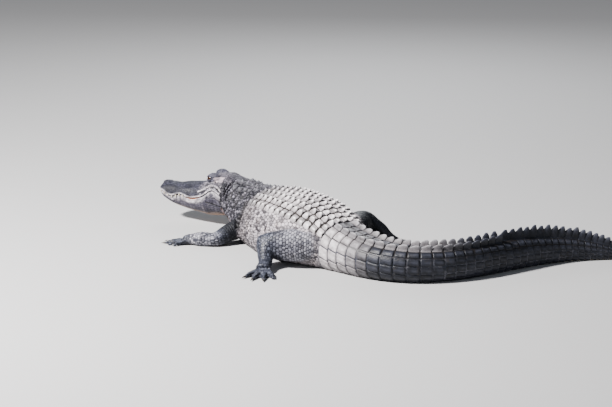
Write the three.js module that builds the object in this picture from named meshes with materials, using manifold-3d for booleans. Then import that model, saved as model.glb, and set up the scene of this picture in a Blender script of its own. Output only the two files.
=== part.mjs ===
// American alligator, adult, life size, lying on its belly with the head turned to its left.
// Millimetres, +Z up. The origin lies on the floor under the middle of the belly.
// The body runs from the snout at -X to the tip of the tail at +X.
import * as THREE from "three";
import { mergeVertices } from "three/addons/utils/BufferGeometryUtils.js";
import Module from "manifold-3d";

const wasm = await Module();
wasm.setup();

// Driving dimensions
const HEAD_LENGTH = 404;
const SPINE_LENGTH = 2610;
const ORIGIN_DISTANCE = 620;
const SHOULDER_DISTANCE = 350;
const HIP_DISTANCE = 925;
const NECK_END = 255;
const TORSO_ROWS = 18;
const TORSO_ROW_PITCH = 41;
const TAIL_START = NECK_END + TORSO_ROWS * TORSO_ROW_PITCH;
const DOUBLE_WHORLS = 18;
const TAIL_WHORLS = 38;
const WHORL_PITCH = 51.5;
const MOUTH_HEIGHT = 166;
const SNOUT_DROOP = 0.04;
const NODE_GAP = 0.3;
const SPINE_STEP = 5;
const SEED = 41;

// Colours
const BACK_GREY = 0x6f6d68;
const NECK_GREY = 0x4c4d4e;
const LIMB_GREY = 0x4a4e55;
const TAIL_GREY = 0x55575a;
const CLAW_BLACK = 0x1d1b19;
const EYE_BROWN = 0x3a2a14;

// A seeded draw from 0 to 1
function makeDraw(seed) {
  let state = seed;
  return () => {
    state = (state * 1664525 + 1013904223) % 4294967296;
    return state / 4294967296;
  };
}

// A monotone cubic through the rows of a table: the first number of a row is the distance, the others are values.
function curveThrough(rows) {
  const at = rows.map((row) => row[0]);
  const columns = rows[0].slice(1).map((_, c) => rows.map((row) => row[c + 1]));
  const slopes = columns.map((v) => {
    const rise = v.slice(1).map((y, i) => (y - v[i]) / (at[i + 1] - at[i]));
    return v.map((_, i) => {
      if (i === 0) return rise[0];
      if (i === v.length - 1) return rise[i - 1];
      if (rise[i - 1] * rise[i] <= 0) return 0;
      return (2 * rise[i - 1] * rise[i]) / (rise[i - 1] + rise[i]);
    });
  });
  return (x) => {
    const clamped = Math.min(Math.max(x, at[0]), at[at.length - 1]);
    let i = 0;
    while (i < at.length - 2 && clamped > at[i + 1]) i++;
    const span = at[i + 1] - at[i];
    const t = (clamped - at[i]) / span;
    const [t2, t3] = [t * t, t * t * t];
    return columns.map(
      (v, c) =>
        v[i] * (2 * t3 - 3 * t2 + 1) +
        slopes[c][i] * span * (t3 - 2 * t2 + t) +
        v[i + 1] * (3 * t2 - 2 * t3) +
        slopes[c][i + 1] * span * (t3 - t2),
    );
  };
}

// Plan heading of the spine in degrees from +X, against the distance behind the skull
const headingAt = curveThrough([
  [0, -24],
  [60, -46],
  [150, -62],
  [300, -62],
  [450, -57],
  [700, -53],
  [950, -53],
  [1080, -51],
  [1220, -40],
  [1370, -16],
  [1500, 7],
  [1650, 24],
  [1850, 33],
  [2050, 31],
  [2250, 18],
  [2400, 6],
  [2610, 0],
]);

// Body section against the distance behind the skull:
// half width, top, height of the widest point, bottom, roundness of the upper half and of the lower half
const sectionAt = curveThrough([
  [0, 112, 244, 150, 56, 2.5, 2.2],
  [55, 124, 246, 136, 38, 2.3, 2.1],
  [130, 126, 246, 128, 18, 2.2, 2.2],
  [210, 138, 248, 118, 2, 2.1, 2.5],
  [290, 158, 258, 110, -12, 2.1, 2.7],
  [400, 198, 276, 106, -22, 2.15, 2.9],
  [600, 236, 290, 102, -28, 2.2, 3],
  [750, 232, 282, 98, -28, 2.2, 3],
  [870, 200, 258, 96, -24, 2.2, 2.9],
  [960, 164, 228, 94, -20, 2.25, 2.7],
  [1080, 136, 196, 88, -14, 2.35, 2.5],
  [1300, 110, 166, 78, -10, 2.5, 2.4],
  [1550, 88, 156, 72, -8, 2.5, 2.4],
  [1880, 62, 150, 66, -6, 2.3, 2.3],
  [2200, 40, 130, 56, -5, 2.1, 2.2],
  [2450, 22, 88, 40, -4, 2, 2],
  [2610, 6, 30, 15, -2, 2, 2],
]);

// Half width of the scute shield, measured over the back from the midline
const shieldAt = curveThrough([
  [255, 132],
  [330, 160],
  [600, 205],
  [800, 196],
  [1000, 150],
]);

// Height of the crest scutes above the tail and their distance from the midline, while the crest is double
const crestAt = curveThrough([
  [990, 19, 50],
  [1200, 24, 48],
  [1500, 28, 38],
  [1750, 36, 24],
  [1900, 46, 12],
  [2000, 54, 0],
  [2200, 52, 0],
  [2400, 40, 0],
  [2610, 10, 0],
]);

// The spine as points in the plan, with the belly's middle at the origin
function makeSpine() {
  const points = [{ x: 0, y: 0 }];
  for (let s = 0; s < SPINE_LENGTH + SPINE_STEP; s += SPINE_STEP) {
    const heading = THREE.MathUtils.degToRad(headingAt(s + SPINE_STEP / 2)[0]);
    const last = points[points.length - 1];
    points.push({
      x: last.x + SPINE_STEP * Math.cos(heading),
      y: last.y + SPINE_STEP * Math.sin(heading),
    });
  }
  const middle = points[ORIGIN_DISTANCE / SPINE_STEP];
  return points.map((p) => ({ x: p.x - middle.x, y: p.y - middle.y }));
}

const spinePoints = makeSpine();

// Place on the spine, with the unit vectors towards the tail and towards the animal's left
function spineAt(s) {
  const i = Math.min(Math.max(Math.floor(s / SPINE_STEP), 0), spinePoints.length - 2);
  const t = s / SPINE_STEP - i;
  const [a, b] = [spinePoints[i], spinePoints[i + 1]];
  const heading = THREE.MathUtils.degToRad(headingAt(s)[0]);
  return {
    x: a.x + (b.x - a.x) * t,
    y: a.y + (b.y - a.y) * t,
    back: new THREE.Vector2(Math.cos(heading), Math.sin(heading)),
    left: new THREE.Vector2(Math.sin(heading), -Math.cos(heading)),
  };
}

// A point given along the spine, to the animal's left, and above the floor
function bodyPlace(s, left, z) {
  const at = spineAt(s);
  return new THREE.Vector3(at.x + at.left.x * left, at.y + at.left.y * left, z);
}

// Left half of a section from the midline of the back to the midline of the belly, with its running length
function halfSection(s) {
  const [width, top, wide, bottom, roundTop, roundLow] = sectionAt(s);
  const samples = 72;
  const points = [];
  let run = 0;
  for (let i = 0; i <= samples; i++) {
    const angle = Math.PI / 2 - (Math.PI * i) / samples;
    const power = 2 / (angle >= 0 ? roundTop : roundLow);
    const side = width * Math.max(Math.cos(angle), 0) ** power;
    const rise = Math.abs(Math.sin(angle)) ** power;
    const z = angle >= 0 ? wide + (top - wide) * rise : wide - (wide - bottom) * rise;
    const point = { side, z: Math.max(z, 0) };
    if (i > 0) {
      const last = points[points.length - 1];
      run += Math.hypot(point.side - last.side, point.z - last.z);
    }
    points.push({ ...point, run });
  }
  return points;
}

// The point of a section at a distance over the skin from the midline of the back, raised along the normal
function onSection(half, distance, raise, lean = 0) {
  let i = 0;
  while (i < half.length - 2 && half[i + 1].run < distance) i++;
  const [a, b] = [half[i], half[i + 1]];
  const span = Math.max(b.run - a.run, 1e-6);
  const t = Math.min(Math.max((distance - a.run) / span, 0), 1);
  const tilt = Math.atan2(b.side - a.side, a.z - b.z) + lean;
  const level = distance === 0 ? Math.PI / 2 : tilt;
  return {
    side: a.side + (b.side - a.side) * t + raise * Math.cos(level),
    z: Math.max(a.z + (b.z - a.z) * t + raise * Math.sin(level), 0),
  };
}

// A ring round the body from columns of [distance, raise, lean] that run from the back's midline to the belly's
function bodyRing(s, columns, swell = 0) {
  const half = halfSection(s);
  const one = columns.map(([distance, raise, lean]) =>
    onSection(half, distance, raise + swell, lean),
  );
  const left = one.map((p) => bodyPlace(s, p.side, p.z));
  const right = one.slice(1, -1).map((p) => bodyPlace(s, -p.side, p.z));
  left[0] = bodyPlace(s, 0, one[0].z);
  left[left.length - 1] = bodyPlace(s, 0, one[one.length - 1].z);
  return [...left, ...right.reverse()];
}

// Columns spaced evenly from a distance down to the midline of the belly
function lowerColumns(s, from, count) {
  const length = halfSection(s).at(-1).run;
  return Array.from({ length: count }, (_, i) => [from + ((length - from) * (i + 1)) / count, 0, 0]);
}

// A closed geometry through rings with the same number of points
function loft(rings) {
  const n = rings[0].length;
  const points = rings.flat();
  const faces = [];
  for (let i = 0; i + 1 < rings.length; i++)
    for (let j = 0; j < n; j++) {
      const [a, b] = [i * n + j, i * n + ((j + 1) % n)];
      faces.push([a, b, b + n], [a, b + n, a + n]);
    }
  for (const [first, turn] of [
    [0, true],
    [(rings.length - 1) * n, false],
  ]) {
    const centre = new THREE.Vector3();
    for (let j = 0; j < n; j++) centre.add(points[first + j]);
    points.push(centre.divideScalar(n));
    for (let j = 0; j < n; j++) {
      const [a, b] = [first + j, first + ((j + 1) % n)];
      faces.push(turn ? [points.length - 1, b, a] : [points.length - 1, a, b]);
    }
  }
  return facingOut(points, faces);
}

// A geometry from points and faces, turned so that it encloses its volume from outside
function facingOut(points, faces) {
  const volume = faces.reduce(
    (sum, [a, b, c]) => sum + points[a].dot(points[b].clone().cross(points[c])),
    0,
  );
  const turned = volume < 0 ? faces.map(([a, b, c]) => [a, c, b]) : faces;
  const geometry = new THREE.BufferGeometry().setFromPoints(points);
  geometry.setIndex(turned.flat());
  return geometry;
}

// manifold-3d in and out
function solid(geometry) {
  const bare = geometry.clone();
  bare.deleteAttribute("normal");
  bare.deleteAttribute("uv");
  const merged = mergeVertices(bare, 1e-4);
  return new wasm.Manifold(
    new wasm.Mesh({
      numProp: 3,
      vertProperties: merged.getAttribute("position").array,
      triVerts: new Uint32Array(merged.index.array),
    }),
  );
}

function largest(shape) {
  return shape.decompose().reduce((best, one) => (one.volume() > best.volume() ? one : best));
}

function geometryOf(shape) {
  const mesh = shape.getMesh();
  const geometry = new THREE.BufferGeometry();
  geometry.setAttribute("position", new THREE.BufferAttribute(new Float32Array(mesh.vertProperties), 3));
  geometry.setIndex(new THREE.BufferAttribute(new Uint32Array(mesh.triVerts), 1));
  return geometry;
}

function joined(shapes) {
  return shapes.reduce((whole, shape) => whole.add(shape));
}

function node(name, geometry, colour, roughness = 0.75) {
  geometry.computeVertexNormals();
  const material = new THREE.MeshStandardMaterial({ color: colour, roughness, metalness: 0 });
  const mesh = new THREE.Mesh(geometry, material);
  mesh.name = name;
  return mesh;
}

// Torso: keeled scutes in rows across the back, raised in the surface of the torso itself
const SCUTES_EACH_SIDE = 4;
const FLANK_COLUMNS = 6;

function keelHeight(s, column) {
  const inner = 8 + 6 * Math.sin((Math.PI * (s - NECK_END)) / (TAIL_START - NECK_END));
  const towardsHips = Math.max(0, (s - 780) / 215);
  const share = [1, 0.95, 0.85, 0.7][column];
  const hips = [0.3, 1, 0.35, 0.1][column];
  return inner * share * (1 - towardsHips) + 22 * hips * towardsHips;
}

function torsoRing(s, part, draw, swell) {
  const shield = shieldAt(s)[0];
  const columns = [[0, part.border, 0]];
  for (let c = 0; c < SCUTES_EACH_SIDE; c++) {
    const keel = part.keel * keelHeight(s, c) * (0.85 + 0.3 * draw()) + part.border;
    columns.push([((c + 0.5) * shield) / SCUTES_EACH_SIDE, keel, 0]);
    columns.push([((c + 1) * shield) / SCUTES_EACH_SIDE, c + 1 < SCUTES_EACH_SIDE ? part.border : 0, 0]);
  }
  columns.push(...lowerColumns(s, shield, FLANK_COLUMNS));
  return bodyRing(s, columns, swell);
}

// The lines of a scute along the body: the share of the pitch, the raise of its border and of its keel
const SCUTE_LINES = [
  { share: 0.02, border: 0, keel: 0 },
  { share: 0.14, border: 2.2, keel: 0.25 },
  { share: 0.84, border: 2.2, keel: 1 },
];

function torsoGeometry(swell = 0) {
  const draw = makeDraw(SEED);
  const rings = [];
  const flat = { border: 0, keel: 0 };
  rings.push(torsoRing(NECK_END + NODE_GAP / 2, flat, draw, swell));
  for (let row = 0; row < TORSO_ROWS; row++)
    for (const line of SCUTE_LINES) {
      const s = NECK_END + (row + line.share) * TORSO_ROW_PITCH;
      rings.push(torsoRing(s, line, draw, swell));
    }
  rings.push(torsoRing(TAIL_START - NODE_GAP / 2, flat, draw, swell));
  return loft(rings);
}

// Tail: whorls of plates, with a double crest that closes to a single one
function whorlStarts() {
  const starts = [TAIL_START];
  for (let i = 0; i < TAIL_WHORLS; i++) {
    const share = i / (TAIL_WHORLS - 1);
    starts.push(starts[i] + WHORL_PITCH * (1 - 0.55 * share * share));
  }
  return starts;
}

const WHORLS = whorlStarts();
const CREST_LEAN = THREE.MathUtils.degToRad(-14);
const WHORL_LINES = [
  { share: 0.03, border: -1.5, crest: 0 },
  { share: 0.3, border: 1, crest: 0.45 },
  { share: 0.82, border: 1, crest: 1 },
];

function tailRing(s, line, single, vary, swell) {
  const [height, offset] = crestAt(s);
  const raise = line.border + line.crest * height * vary;
  const length = halfSection(s).at(-1).run;
  const base = Math.min(17, 0.16 * length);
  const columns = single
    ? [
        [0, raise, 0],
        [base * 0.75, line.border, 0],
      ]
    : [
        [0, 0, 0],
        [Math.max(offset - base, offset * 0.4), line.border, 0],
        [offset, raise, CREST_LEAN],
        [offset + base, line.border, 0],
      ];
  const from = columns.at(-1)[0];
  const sides = lowerColumns(s, from, 6).map(([d, , lean], i) => [d, i < 4 ? line.border : 0, lean]);
  return bodyRing(s, [...columns, ...sides], swell);
}

function tailGeometry(firstWhorl, lastWhorl, single, seed, swell = 0) {
  const draw = makeDraw(seed);
  const smooth = { border: 0, crest: 0 };
  const rings = [tailRing(WHORLS[firstWhorl] + NODE_GAP / 2, smooth, single, 1, swell)];
  for (let i = firstWhorl; i < lastWhorl; i++) {
    const pitch = WHORLS[i + 1] - WHORLS[i];
    const vary = 0.88 + 0.24 * draw();
    for (const line of WHORL_LINES)
      rings.push(tailRing(WHORLS[i] + line.share * pitch, line, single, vary, swell));
  }
  const end = lastWhorl < TAIL_WHORLS ? WHORLS[lastWhorl] - NODE_GAP / 2 : SPINE_LENGTH;
  rings.push(tailRing(end, smooth, single, 1, swell));
  return loft(rings);
}

// A raised plate on the body at a distance along the spine and across the back, with a keel along it
function plate(s, across, length, width, height) {
  const sink = 9;
  const rim = 3;
  const side = Math.sign(across) || 1;
  const on = (along, over, raise) => {
    const distance = Math.abs(across + over);
    const sign = Math.sign(across + over) || side;
    const p = onSection(halfSection(s + along), distance, raise);
    return bodyPlace(s + along, sign * p.side, p.z);
  };
  const [l, w] = [length / 2, width / 2];
  const outline = [
    [-l, -w * 0.6],
    [-l * 0.6, -w],
    [l * 0.7, -w],
    [l, 0],
    [l * 0.7, w],
    [-l * 0.6, w],
    [-l, w * 0.6],
  ];
  const points = [
    ...outline.map(([a, o]) => on(a, o, -sink)),
    ...outline.map(([a, o]) => on(a * 0.94, o * 0.94, rim)),
    on(-l * 0.5, 0, rim + height * 0.3),
    on(l * 0.75, 0, rim + height),
    on(0, 0, -sink),
  ];
  const n = outline.length;
  const [front, peak, under] = [2 * n, 2 * n + 1, 2 * n + 2];
  const faces = [];
  for (let j = 0; j < n; j++) {
    const k = (j + 1) % n;
    faces.push([j, k, n + k], [j, n + k, n + j], [under, k, j]);
  }
  const crown = [front, peak, peak, peak, front, front, front];
  for (let j = 0; j < n; j++) {
    const k = (j + 1) % n;
    faces.push([n + j, n + k, crown[j]]);
    if (crown[k] !== crown[j]) faces.push([n + k, crown[k], crown[j]]);
  }
  return facingOut(points, faces);
}

// Neck, with the shield of large plates on the nape
const NECK_RING_STEP = 21;
const NUCHAL_PLATES = [
  [38, 26, 30, 26, 8],
  [46, 68, 26, 24, 7],
  [118, 30, 50, 44, 15],
  [124, 80, 40, 36, 11],
  [176, 28, 50, 42, 15],
  [180, 76, 38, 32, 10],
  [226, 24, 38, 34, 12],
];

function neckGeometry() {
  const rings = [];
  const count = Math.round(NECK_END / NECK_RING_STEP);
  for (let i = 0; i <= count; i++) {
    const s = NODE_GAP / 2 + ((NECK_END - NODE_GAP) * i) / count;
    rings.push(bodyRing(s, [[0, 0, 0], ...lowerColumns(s, 0, 14)]));
  }
  const plates = NUCHAL_PLATES.flatMap(([s, across, length, width, height]) =>
    [across, -across].map((a) => solid(plate(s, a, length, width, height))),
  );
  return geometryOf(largest(joined([solid(loft(rings)), ...plates])));
}

// Limbs
// A tapered tube through stations of [place, half width, half height]; sections stand across the path
function tube(stations, sides = 12, fill = 2.3) {
  const rings = stations.map(([place, wide, high], i) => {
    const ahead = stations[Math.min(i + 1, stations.length - 1)][0];
    const tangent = ahead.clone().sub(stations[Math.max(i - 1, 0)][0]).normalize();
    const across = at(-tangent.y, tangent.x, 0);
    if (across.lengthSq() < 0.04) across.set(1, 0, 0);
    across.normalize();
    const up = tangent.clone().cross(across).normalize();
    if (up.z < 0) up.negate();
    return Array.from({ length: sides }, (_, j) => {
      const angle = (2 * Math.PI * j) / sides;
      const [c, d] = [Math.cos(angle), Math.sin(angle)];
      const a = Math.sign(c) * Math.abs(c) ** (2 / fill) * wide;
      const b = Math.sign(d) * Math.abs(d) ** (2 / fill) * high;
      const p = place.clone().addScaledVector(across, a).addScaledVector(up, b);
      p.z = Math.max(p.z, 0);
      return p;
    });
  });
  return loft(rings);
}

const torsoCutter = solid(torsoGeometry(NODE_GAP));
const neckCutter = solid(
  loft(
    Array.from({ length: 14 }, (_, i) => {
      const s = (NECK_END * i) / 13;
      return bodyRing(s, [[0, 0, 0], ...lowerColumns(s, 0, 14)], NODE_GAP);
    }),
  ),
);
const tailCutter = solid(tailGeometry(0, DOUBLE_WHORLS / 2, false, SEED + 1, NODE_GAP));

// Splits a shape by an upright or tilted plane into the part before it and the part behind it, with a thin gap
function parted(shape, place, direction) {
  const normal = direction.clone().normalize();
  const reach = normal.dot(place);
  const before = shape.trimByPlane([-normal.x, -normal.y, -normal.z], -reach + NODE_GAP / 2);
  const behind = shape.trimByPlane([normal.x, normal.y, normal.z], reach + NODE_GAP / 2);
  return [before, behind];
}

// A digit as a tapered tube, with the place and direction of its tip
function digit(root, heading, length, thick, lift) {
  const along = at(Math.cos(heading), Math.sin(heading), 0);
  const tipHeight = thick * 0.66;
  const place = (share, z) => root.clone().addScaledVector(along, length * share).setZ(z);
  const stations = [
    [place(-0.12, root.z), thick * 0.9, thick * 0.8],
    [place(0.25, lift), thick, thick * 0.85],
    [place(0.6, lift * 0.86), thick * 0.88, thick * 0.75],
    [place(0.88, tipHeight), thick * 0.72, thick * 0.62],
    [place(1, tipHeight), thick * 0.5, thick * 0.46],
  ];
  return { shape: tube(stations, 8), tip: place(1, tipHeight), along };
}

function claw(tip, along, size) {
  const place = (share, rise) => tip.clone().addScaledVector(along, NODE_GAP + size * share).add(at(0, 0, rise));
  const stations = [
    [place(0, 0), size * 0.2, size * 0.2],
    [place(0.25, 0), size * 0.19, size * 0.2],
    [place(0.7, size * 0.02), size * 0.11, size * 0.12],
    [place(1, -size * 0.12), size * 0.02, size * 0.02],
  ];
  return tube(stations, 7, 2);
}

// One leg: the flesh as one shape, cut from the body, then parted at its joints, with its claws
function leg(side, plan) {
  const { names, path, cuts, digits, web, cutters } = plan;
  const shapes = [solid(tube(path, 14))];
  const made = digits.map((d) => digit(d.root, d.heading, d.length, d.thick, d.lift));
  shapes.push(...made.map((d) => solid(d.shape)));
  if (web) shapes.push(solid(web));
  let flesh = joined(shapes);
  for (const cutter of cutters) flesh = flesh.subtract(cutter);
  flesh = largest(flesh);
  const pieces = [];
  for (const cut of cuts) {
    const [before, behind] = parted(flesh, cut.place, cut.direction);
    pieces.push(largest(before));
    flesh = largest(behind);
  }
  pieces.push(flesh);
  const meshes = pieces.map((piece, i) => node(`${names[i]}_${side}`, geometryOf(piece), LIMB_GREY));
  made.slice(0, 3).forEach((d, i) => {
    const name = `${names.at(-1)}_claw_${i + 1}_${side}`;
    meshes.push(node(name, claw(d.tip, d.along, digits[i].thick * 2.1), CLAW_BLACK, 0.4));
  });
  return meshes;
}

// Digits spread from the end of the hand or foot about its heading, the inner one first
function spreadDigits(wrist, heading, count, fan, lengths, palm, thick, inner) {
  return Array.from({ length: count }, (_, i) => {
    const turn = THREE.MathUtils.degToRad(inner * fan * ((count - 1) / 2 - i));
    const out = new THREE.Vector3(Math.cos(heading + turn * 0.9), Math.sin(heading + turn * 0.9), 0);
    const root = wrist.clone().addScaledVector(out, palm).setZ(16);
    return { root, heading: heading + turn, length: lengths[i], thick, lift: 15 };
  });
}

// A low closed pad that fills the palm or the web between the toes
function webPad(wrist, digits, share, height) {
  const tops = digits.map((d) =>
    d.root
      .clone()
      .add(new THREE.Vector3(Math.cos(d.heading), Math.sin(d.heading), 0).multiplyScalar(d.length * share)),
  );
  const outline = [wrist.clone(), ...tops];
  const upper = outline.map((p) => p.clone().setZ(height));
  upper[0].setZ(height * 1.6);
  const lower = outline.map((p) => p.clone().setZ(0));
  const n = outline.length;
  const points = [...upper, ...lower];
  const faces = [];
  for (let j = 1; j + 1 < n; j++) faces.push([0, j, j + 1], [n, n + j + 1, n + j]);
  for (let j = 0; j < n; j++) {
    const k = (j + 1) % n;
    faces.push([j, n + j, n + k], [j, n + k, k]);
  }
  return facingOut(points, faces);
}

const FRONT_LENGTHS = [66, 84, 90, 78, 58];
const HIND_LENGTHS = [84, 104, 108, 92];

function at(x, y, z) {
  return new THREE.Vector3(x, y, z);
}

function frontLeg(side, shoulder, elbow, wrist, heading, inner) {
  const along = at(Math.cos(heading), Math.sin(heading), 0);
  const palm = wrist.clone().addScaledVector(along, 34).setZ(20);
  const digits = spreadDigits(wrist, heading, 5, 17, FRONT_LENGTHS, 40, 9, inner);
  const middleUpper = shoulder.clone().lerp(elbow, 0.5);
  const middleLower = elbow.clone().lerp(wrist, 0.5);
  return leg(side, {
    names: ["upper_arm", "forearm", "hand"],
    path: [
      [shoulder, 56, 60],
      [middleUpper, 44, 45],
      [elbow, 36, 31],
      [middleLower, 38, 35],
      [wrist, 29, 24],
      [palm, 33, 18],
    ],
    cuts: [
      { place: elbow, direction: wrist.clone().sub(shoulder) },
      { place: wrist, direction: along.clone() },
    ],
    digits,
    web: webPad(wrist, digits, 0.3, 15),
    cutters: [torsoCutter, neckCutter],
  });
}

function hindLeg(side, hip, knee, ankle, heading, inner) {
  const along = at(Math.cos(heading), Math.sin(heading), 0);
  const sole = ankle.clone().addScaledVector(along, 60).setZ(24);
  const digits = spreadDigits(ankle, heading, 4, 17, HIND_LENGTHS, 84, 12.5, inner);
  const thigh = hip.clone().lerp(knee, 0.45);
  const shank = knee.clone().lerp(ankle, 0.45);
  return leg(side, {
    names: ["thigh", "shank", "foot"],
    path: [
      [hip.clone().lerp(knee, -0.25), 56, 60],
      [hip, 68, 76],
      [thigh, 68, 76],
      [knee, 52, 56],
      [shank, 42, 44],
      [ankle, 31, 30],
      [sole, 36, 24],
    ],
    cuts: [
      { place: knee, direction: ankle.clone().sub(hip) },
      { place: ankle, direction: along.clone() },
    ],
    digits,
    web: webPad(ankle, digits, 0.55, 13),
    cutters: [torsoCutter, tailCutter],
  });
}

// Head, in its own frame: +X from the back of the skull to the snout, the mouth's level at zero.
// Upper jaw and skull against the distance behind the tip of the snout: half width, top, roundness
const skullAt = curveThrough([
  [0, 20, 20, 2],
  [6, 38, 29, 2.1],
  [18, 54, 38, 2.3],
  [40, 65, 43, 2.5],
  [70, 69, 43, 2.6],
  [105, 71, 41, 2.6],
  [160, 80, 45, 2.6],
  [225, 88, 51, 2.5],
  [255, 94, 56, 2.4],
  [310, 106, 72, 2.2],
  [350, 114, 78, 2.3],
  [404, 116, 80, 2.5],
]);

// The line of the mouth
const mouthAt = curveThrough([
  [0, 9],
  [25, 7],
  [87, -17],
  [136, -4],
  [204, -20],
  [270, -6],
  [343, 33],
  [404, -3],
]);

// Lower jaw: half width and depth below the mouth's level
const jawAt = curveThrough([
  [6, 24, -16],
  [16, 42, -29],
  [40, 55, -44],
  [95, 60, -71],
  [165, 71, -91],
  [240, 84, -104],
  [315, 102, -115],
  [404, 110, -110],
]);

function headRing(u, width, high, low, fill, count, upper) {
  const x = HEAD_LENGTH - u;
  const ring = [];
  for (let i = 0; i <= count; i++) {
    const angle = (Math.PI * i) / count;
    const [c, d] = [Math.cos(angle), Math.sin(angle)];
    const y = Math.sign(c) * Math.abs(c) ** (2 / fill) * width;
    const rise = Math.max(d, 0) ** (2 / fill);
    ring.push(at(x, y, upper ? low + (high - low) * rise : high - (high - low) * rise));
  }
  const flats = 3;
  const level = upper ? low : high;
  for (let i = 1; i < flats; i++) ring.push(at(x, -width + (2 * width * i) / flats, level));
  return ring;
}

function ellipsoid(centre, radii, across = 10, down = 7) {
  const geometry = new THREE.SphereGeometry(1, across, down);
  geometry.scale(...radii);
  geometry.translate(...centre);
  return geometry;
}

const EYE = { u: 311, y: 60, z: 86, radius: 17 };
const BROW = { u: 326, y: 51, z: 88, radii: [37, 25, 27] };
const LID_OPEN = THREE.MathUtils.degToRad(26);

// A lid: a curved ridge over or under the eyeball
function lid(side, upper) {
  const x = HEAD_LENGTH - EYE.u;
  const reach = EYE.radius + 3;
  const turn = upper ? LID_OPEN : -LID_OPEN;
  const stations = [-1, -0.6, 0, 0.6, 1].map((k) => {
    const around = k * 1.15;
    const rise = Math.sin(turn) * Math.cos(around) * reach;
    const out = Math.cos(turn * Math.cos(around)) * Math.cos(around * 0.85) * reach;
    const thick = 5.2 * (1 - 0.45 * Math.abs(k));
    return [at(x + reach * Math.sin(around), side * (EYE.y + out - 2), EYE.z + 2 + rise), thick, thick];
  });
  return tube(stations, 7, 2);
}

function tooth(u, side, length, radius, root, downwards = true) {
  const reach = downwards ? -1 : 1;
  const [width] = skullAt(u);
  const y = side * (width - 5.5);
  const shape = new THREE.ConeGeometry(radius, length + root, 6);
  if (downwards) shape.rotateX(-Math.PI / 2);
  else shape.rotateX(Math.PI / 2);
  shape.translate(HEAD_LENGTH - u, y, mouthAt(u)[0] + reach * ((length - root) / 2));
  return shape;
}

const HEAD_STATIONS = [0, 6, 18, 40, 62, 87, 112, 140, 172, 204, 235, 265, 292, 318, 343, 370, 403.8];

function skullTable() {
  const rows = [
    [312, 42, 87],
    [330, 56, 98],
    [365, 63, 102],
    [395, 66, 100],
    [403.8, 65, 97],
  ];
  return loft(rows.map(([u, width, top]) => headRing(u, width, top, 60, 4, 8, true)));
}

const NOSTRIL_DISTANCE = 34;

function nostrilBump() {
  return ellipsoid([HEAD_LENGTH - NOSTRIL_DISTANCE - 10, 0, 39], [32, 27, 12], 10, 6);
}

function upperHead() {
  const rings = HEAD_STATIONS.map((u) => {
    const [width, top, fill] = skullAt(u);
    return headRing(u, width, top, mouthAt(u)[0] + 0.2, fill, 14, true);
  });
  const parts = [solid(loft(rings)), solid(skullTable()), solid(nostrilBump())];
  const cuts = [];
  for (const side of [1, -1]) {
    parts.push(solid(ellipsoid([HEAD_LENGTH - BROW.u, side * BROW.y, BROW.z], BROW.radii)));
    parts.push(solid(lid(side, true)), solid(lid(side, false)));
    const flap = [
      [at(HEAD_LENGTH - 332, side * 62, 84), 5, 6],
      [at(HEAD_LENGTH - 350, side * 68, 86), 6, 9],
      [at(HEAD_LENGTH - 376, side * 71, 86), 6, 9],
      [at(HEAD_LENGTH - 396, side * 72, 82), 4, 6],
    ];
    parts.push(solid(tube(flap, 7, 2)));
    for (const [u, length, radius] of UPPER_TEETH)
      parts.push(solid(tooth(u, side, length, radius, 12)));
    const eye = [HEAD_LENGTH - EYE.u, side * EYE.y, EYE.z];
    cuts.push(solid(ellipsoid(eye, Array(3).fill(EYE.radius + NODE_GAP), 12, 8)));
    cuts.push(solid(ellipsoid([HEAD_LENGTH - NOSTRIL_DISTANCE, side * 12, 51], [9, 5, 6], 8, 5)));
  }
  let whole = joined(parts);
  for (const cut of cuts) whole = whole.subtract(cut);
  return largest(whole);
}

const UPPER_TEETH = [
  [22, 9, 3],
  [44, 12, 3.6],
  [64, 8, 3],
  [88, 10, 3.4],
  [112, 15, 4.4],
  [134, 12, 4],
  [156, 9, 3.4],
  [182, 8, 3.2],
  [206, 8, 3.2],
];

function lowerJaw() {
  const rings = HEAD_STATIONS.filter((u) => u >= 6).map((u) => {
    const [width, low] = jawAt(u);
    return headRing(u, width, mouthAt(u)[0] - 0.2, low, 2.4, 12, false);
  });
  let jaw = solid(loft(rings));
  for (const side of [1, -1])
    for (const [u, length, radius] of UPPER_TEETH)
      jaw = jaw.subtract(solid(tooth(u, side, length + 1, radius + NODE_GAP + 0.2, 12)));
  return largest(jaw);
}

// The snout droops a little: every height falls with the distance from the back of the skull
function drooped(geometry) {
  const droop = new THREE.Matrix4().makeShear(0, -SNOUT_DROOP, 0, 0, 0, 0);
  return geometry.applyMatrix4(droop);
}

function makeHead() {
  const head = new THREE.Group();
  const neckFront = spineAt(0);
  head.position.set(neckFront.x, neckFront.y, MOUTH_HEIGHT);
  head.rotation.z = THREE.MathUtils.degToRad(headingAt(0)[0] + 180);
  head.add(node("head", drooped(geometryOf(upperHead())), NECK_GREY));
  head.add(node("lower_jaw", drooped(geometryOf(lowerJaw())), NECK_GREY));
  for (const [name, side] of [
    ["eye_left", 1],
    ["eye_right", -1],
  ]) {
    const centre = [HEAD_LENGTH - EYE.u, side * EYE.y, EYE.z];
    const ball = drooped(ellipsoid(centre, Array(3).fill(EYE.radius), 12, 8));
    head.add(node(name, ball, EYE_BROWN, 0.15));
  }
  return head;
}

function makeBody() {
  return [
    node("neck", neckGeometry(), NECK_GREY),
    node("torso", torsoGeometry(), BACK_GREY),
    node("tail_base", tailGeometry(0, DOUBLE_WHORLS / 2, false, SEED + 1), TAIL_GREY),
    node("tail_middle", tailGeometry(DOUBLE_WHORLS / 2, DOUBLE_WHORLS, false, SEED + 2), TAIL_GREY),
    node("tail_end", tailGeometry(DOUBLE_WHORLS, TAIL_WHORLS, true, SEED + 3), TAIL_GREY),
  ];
}

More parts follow.
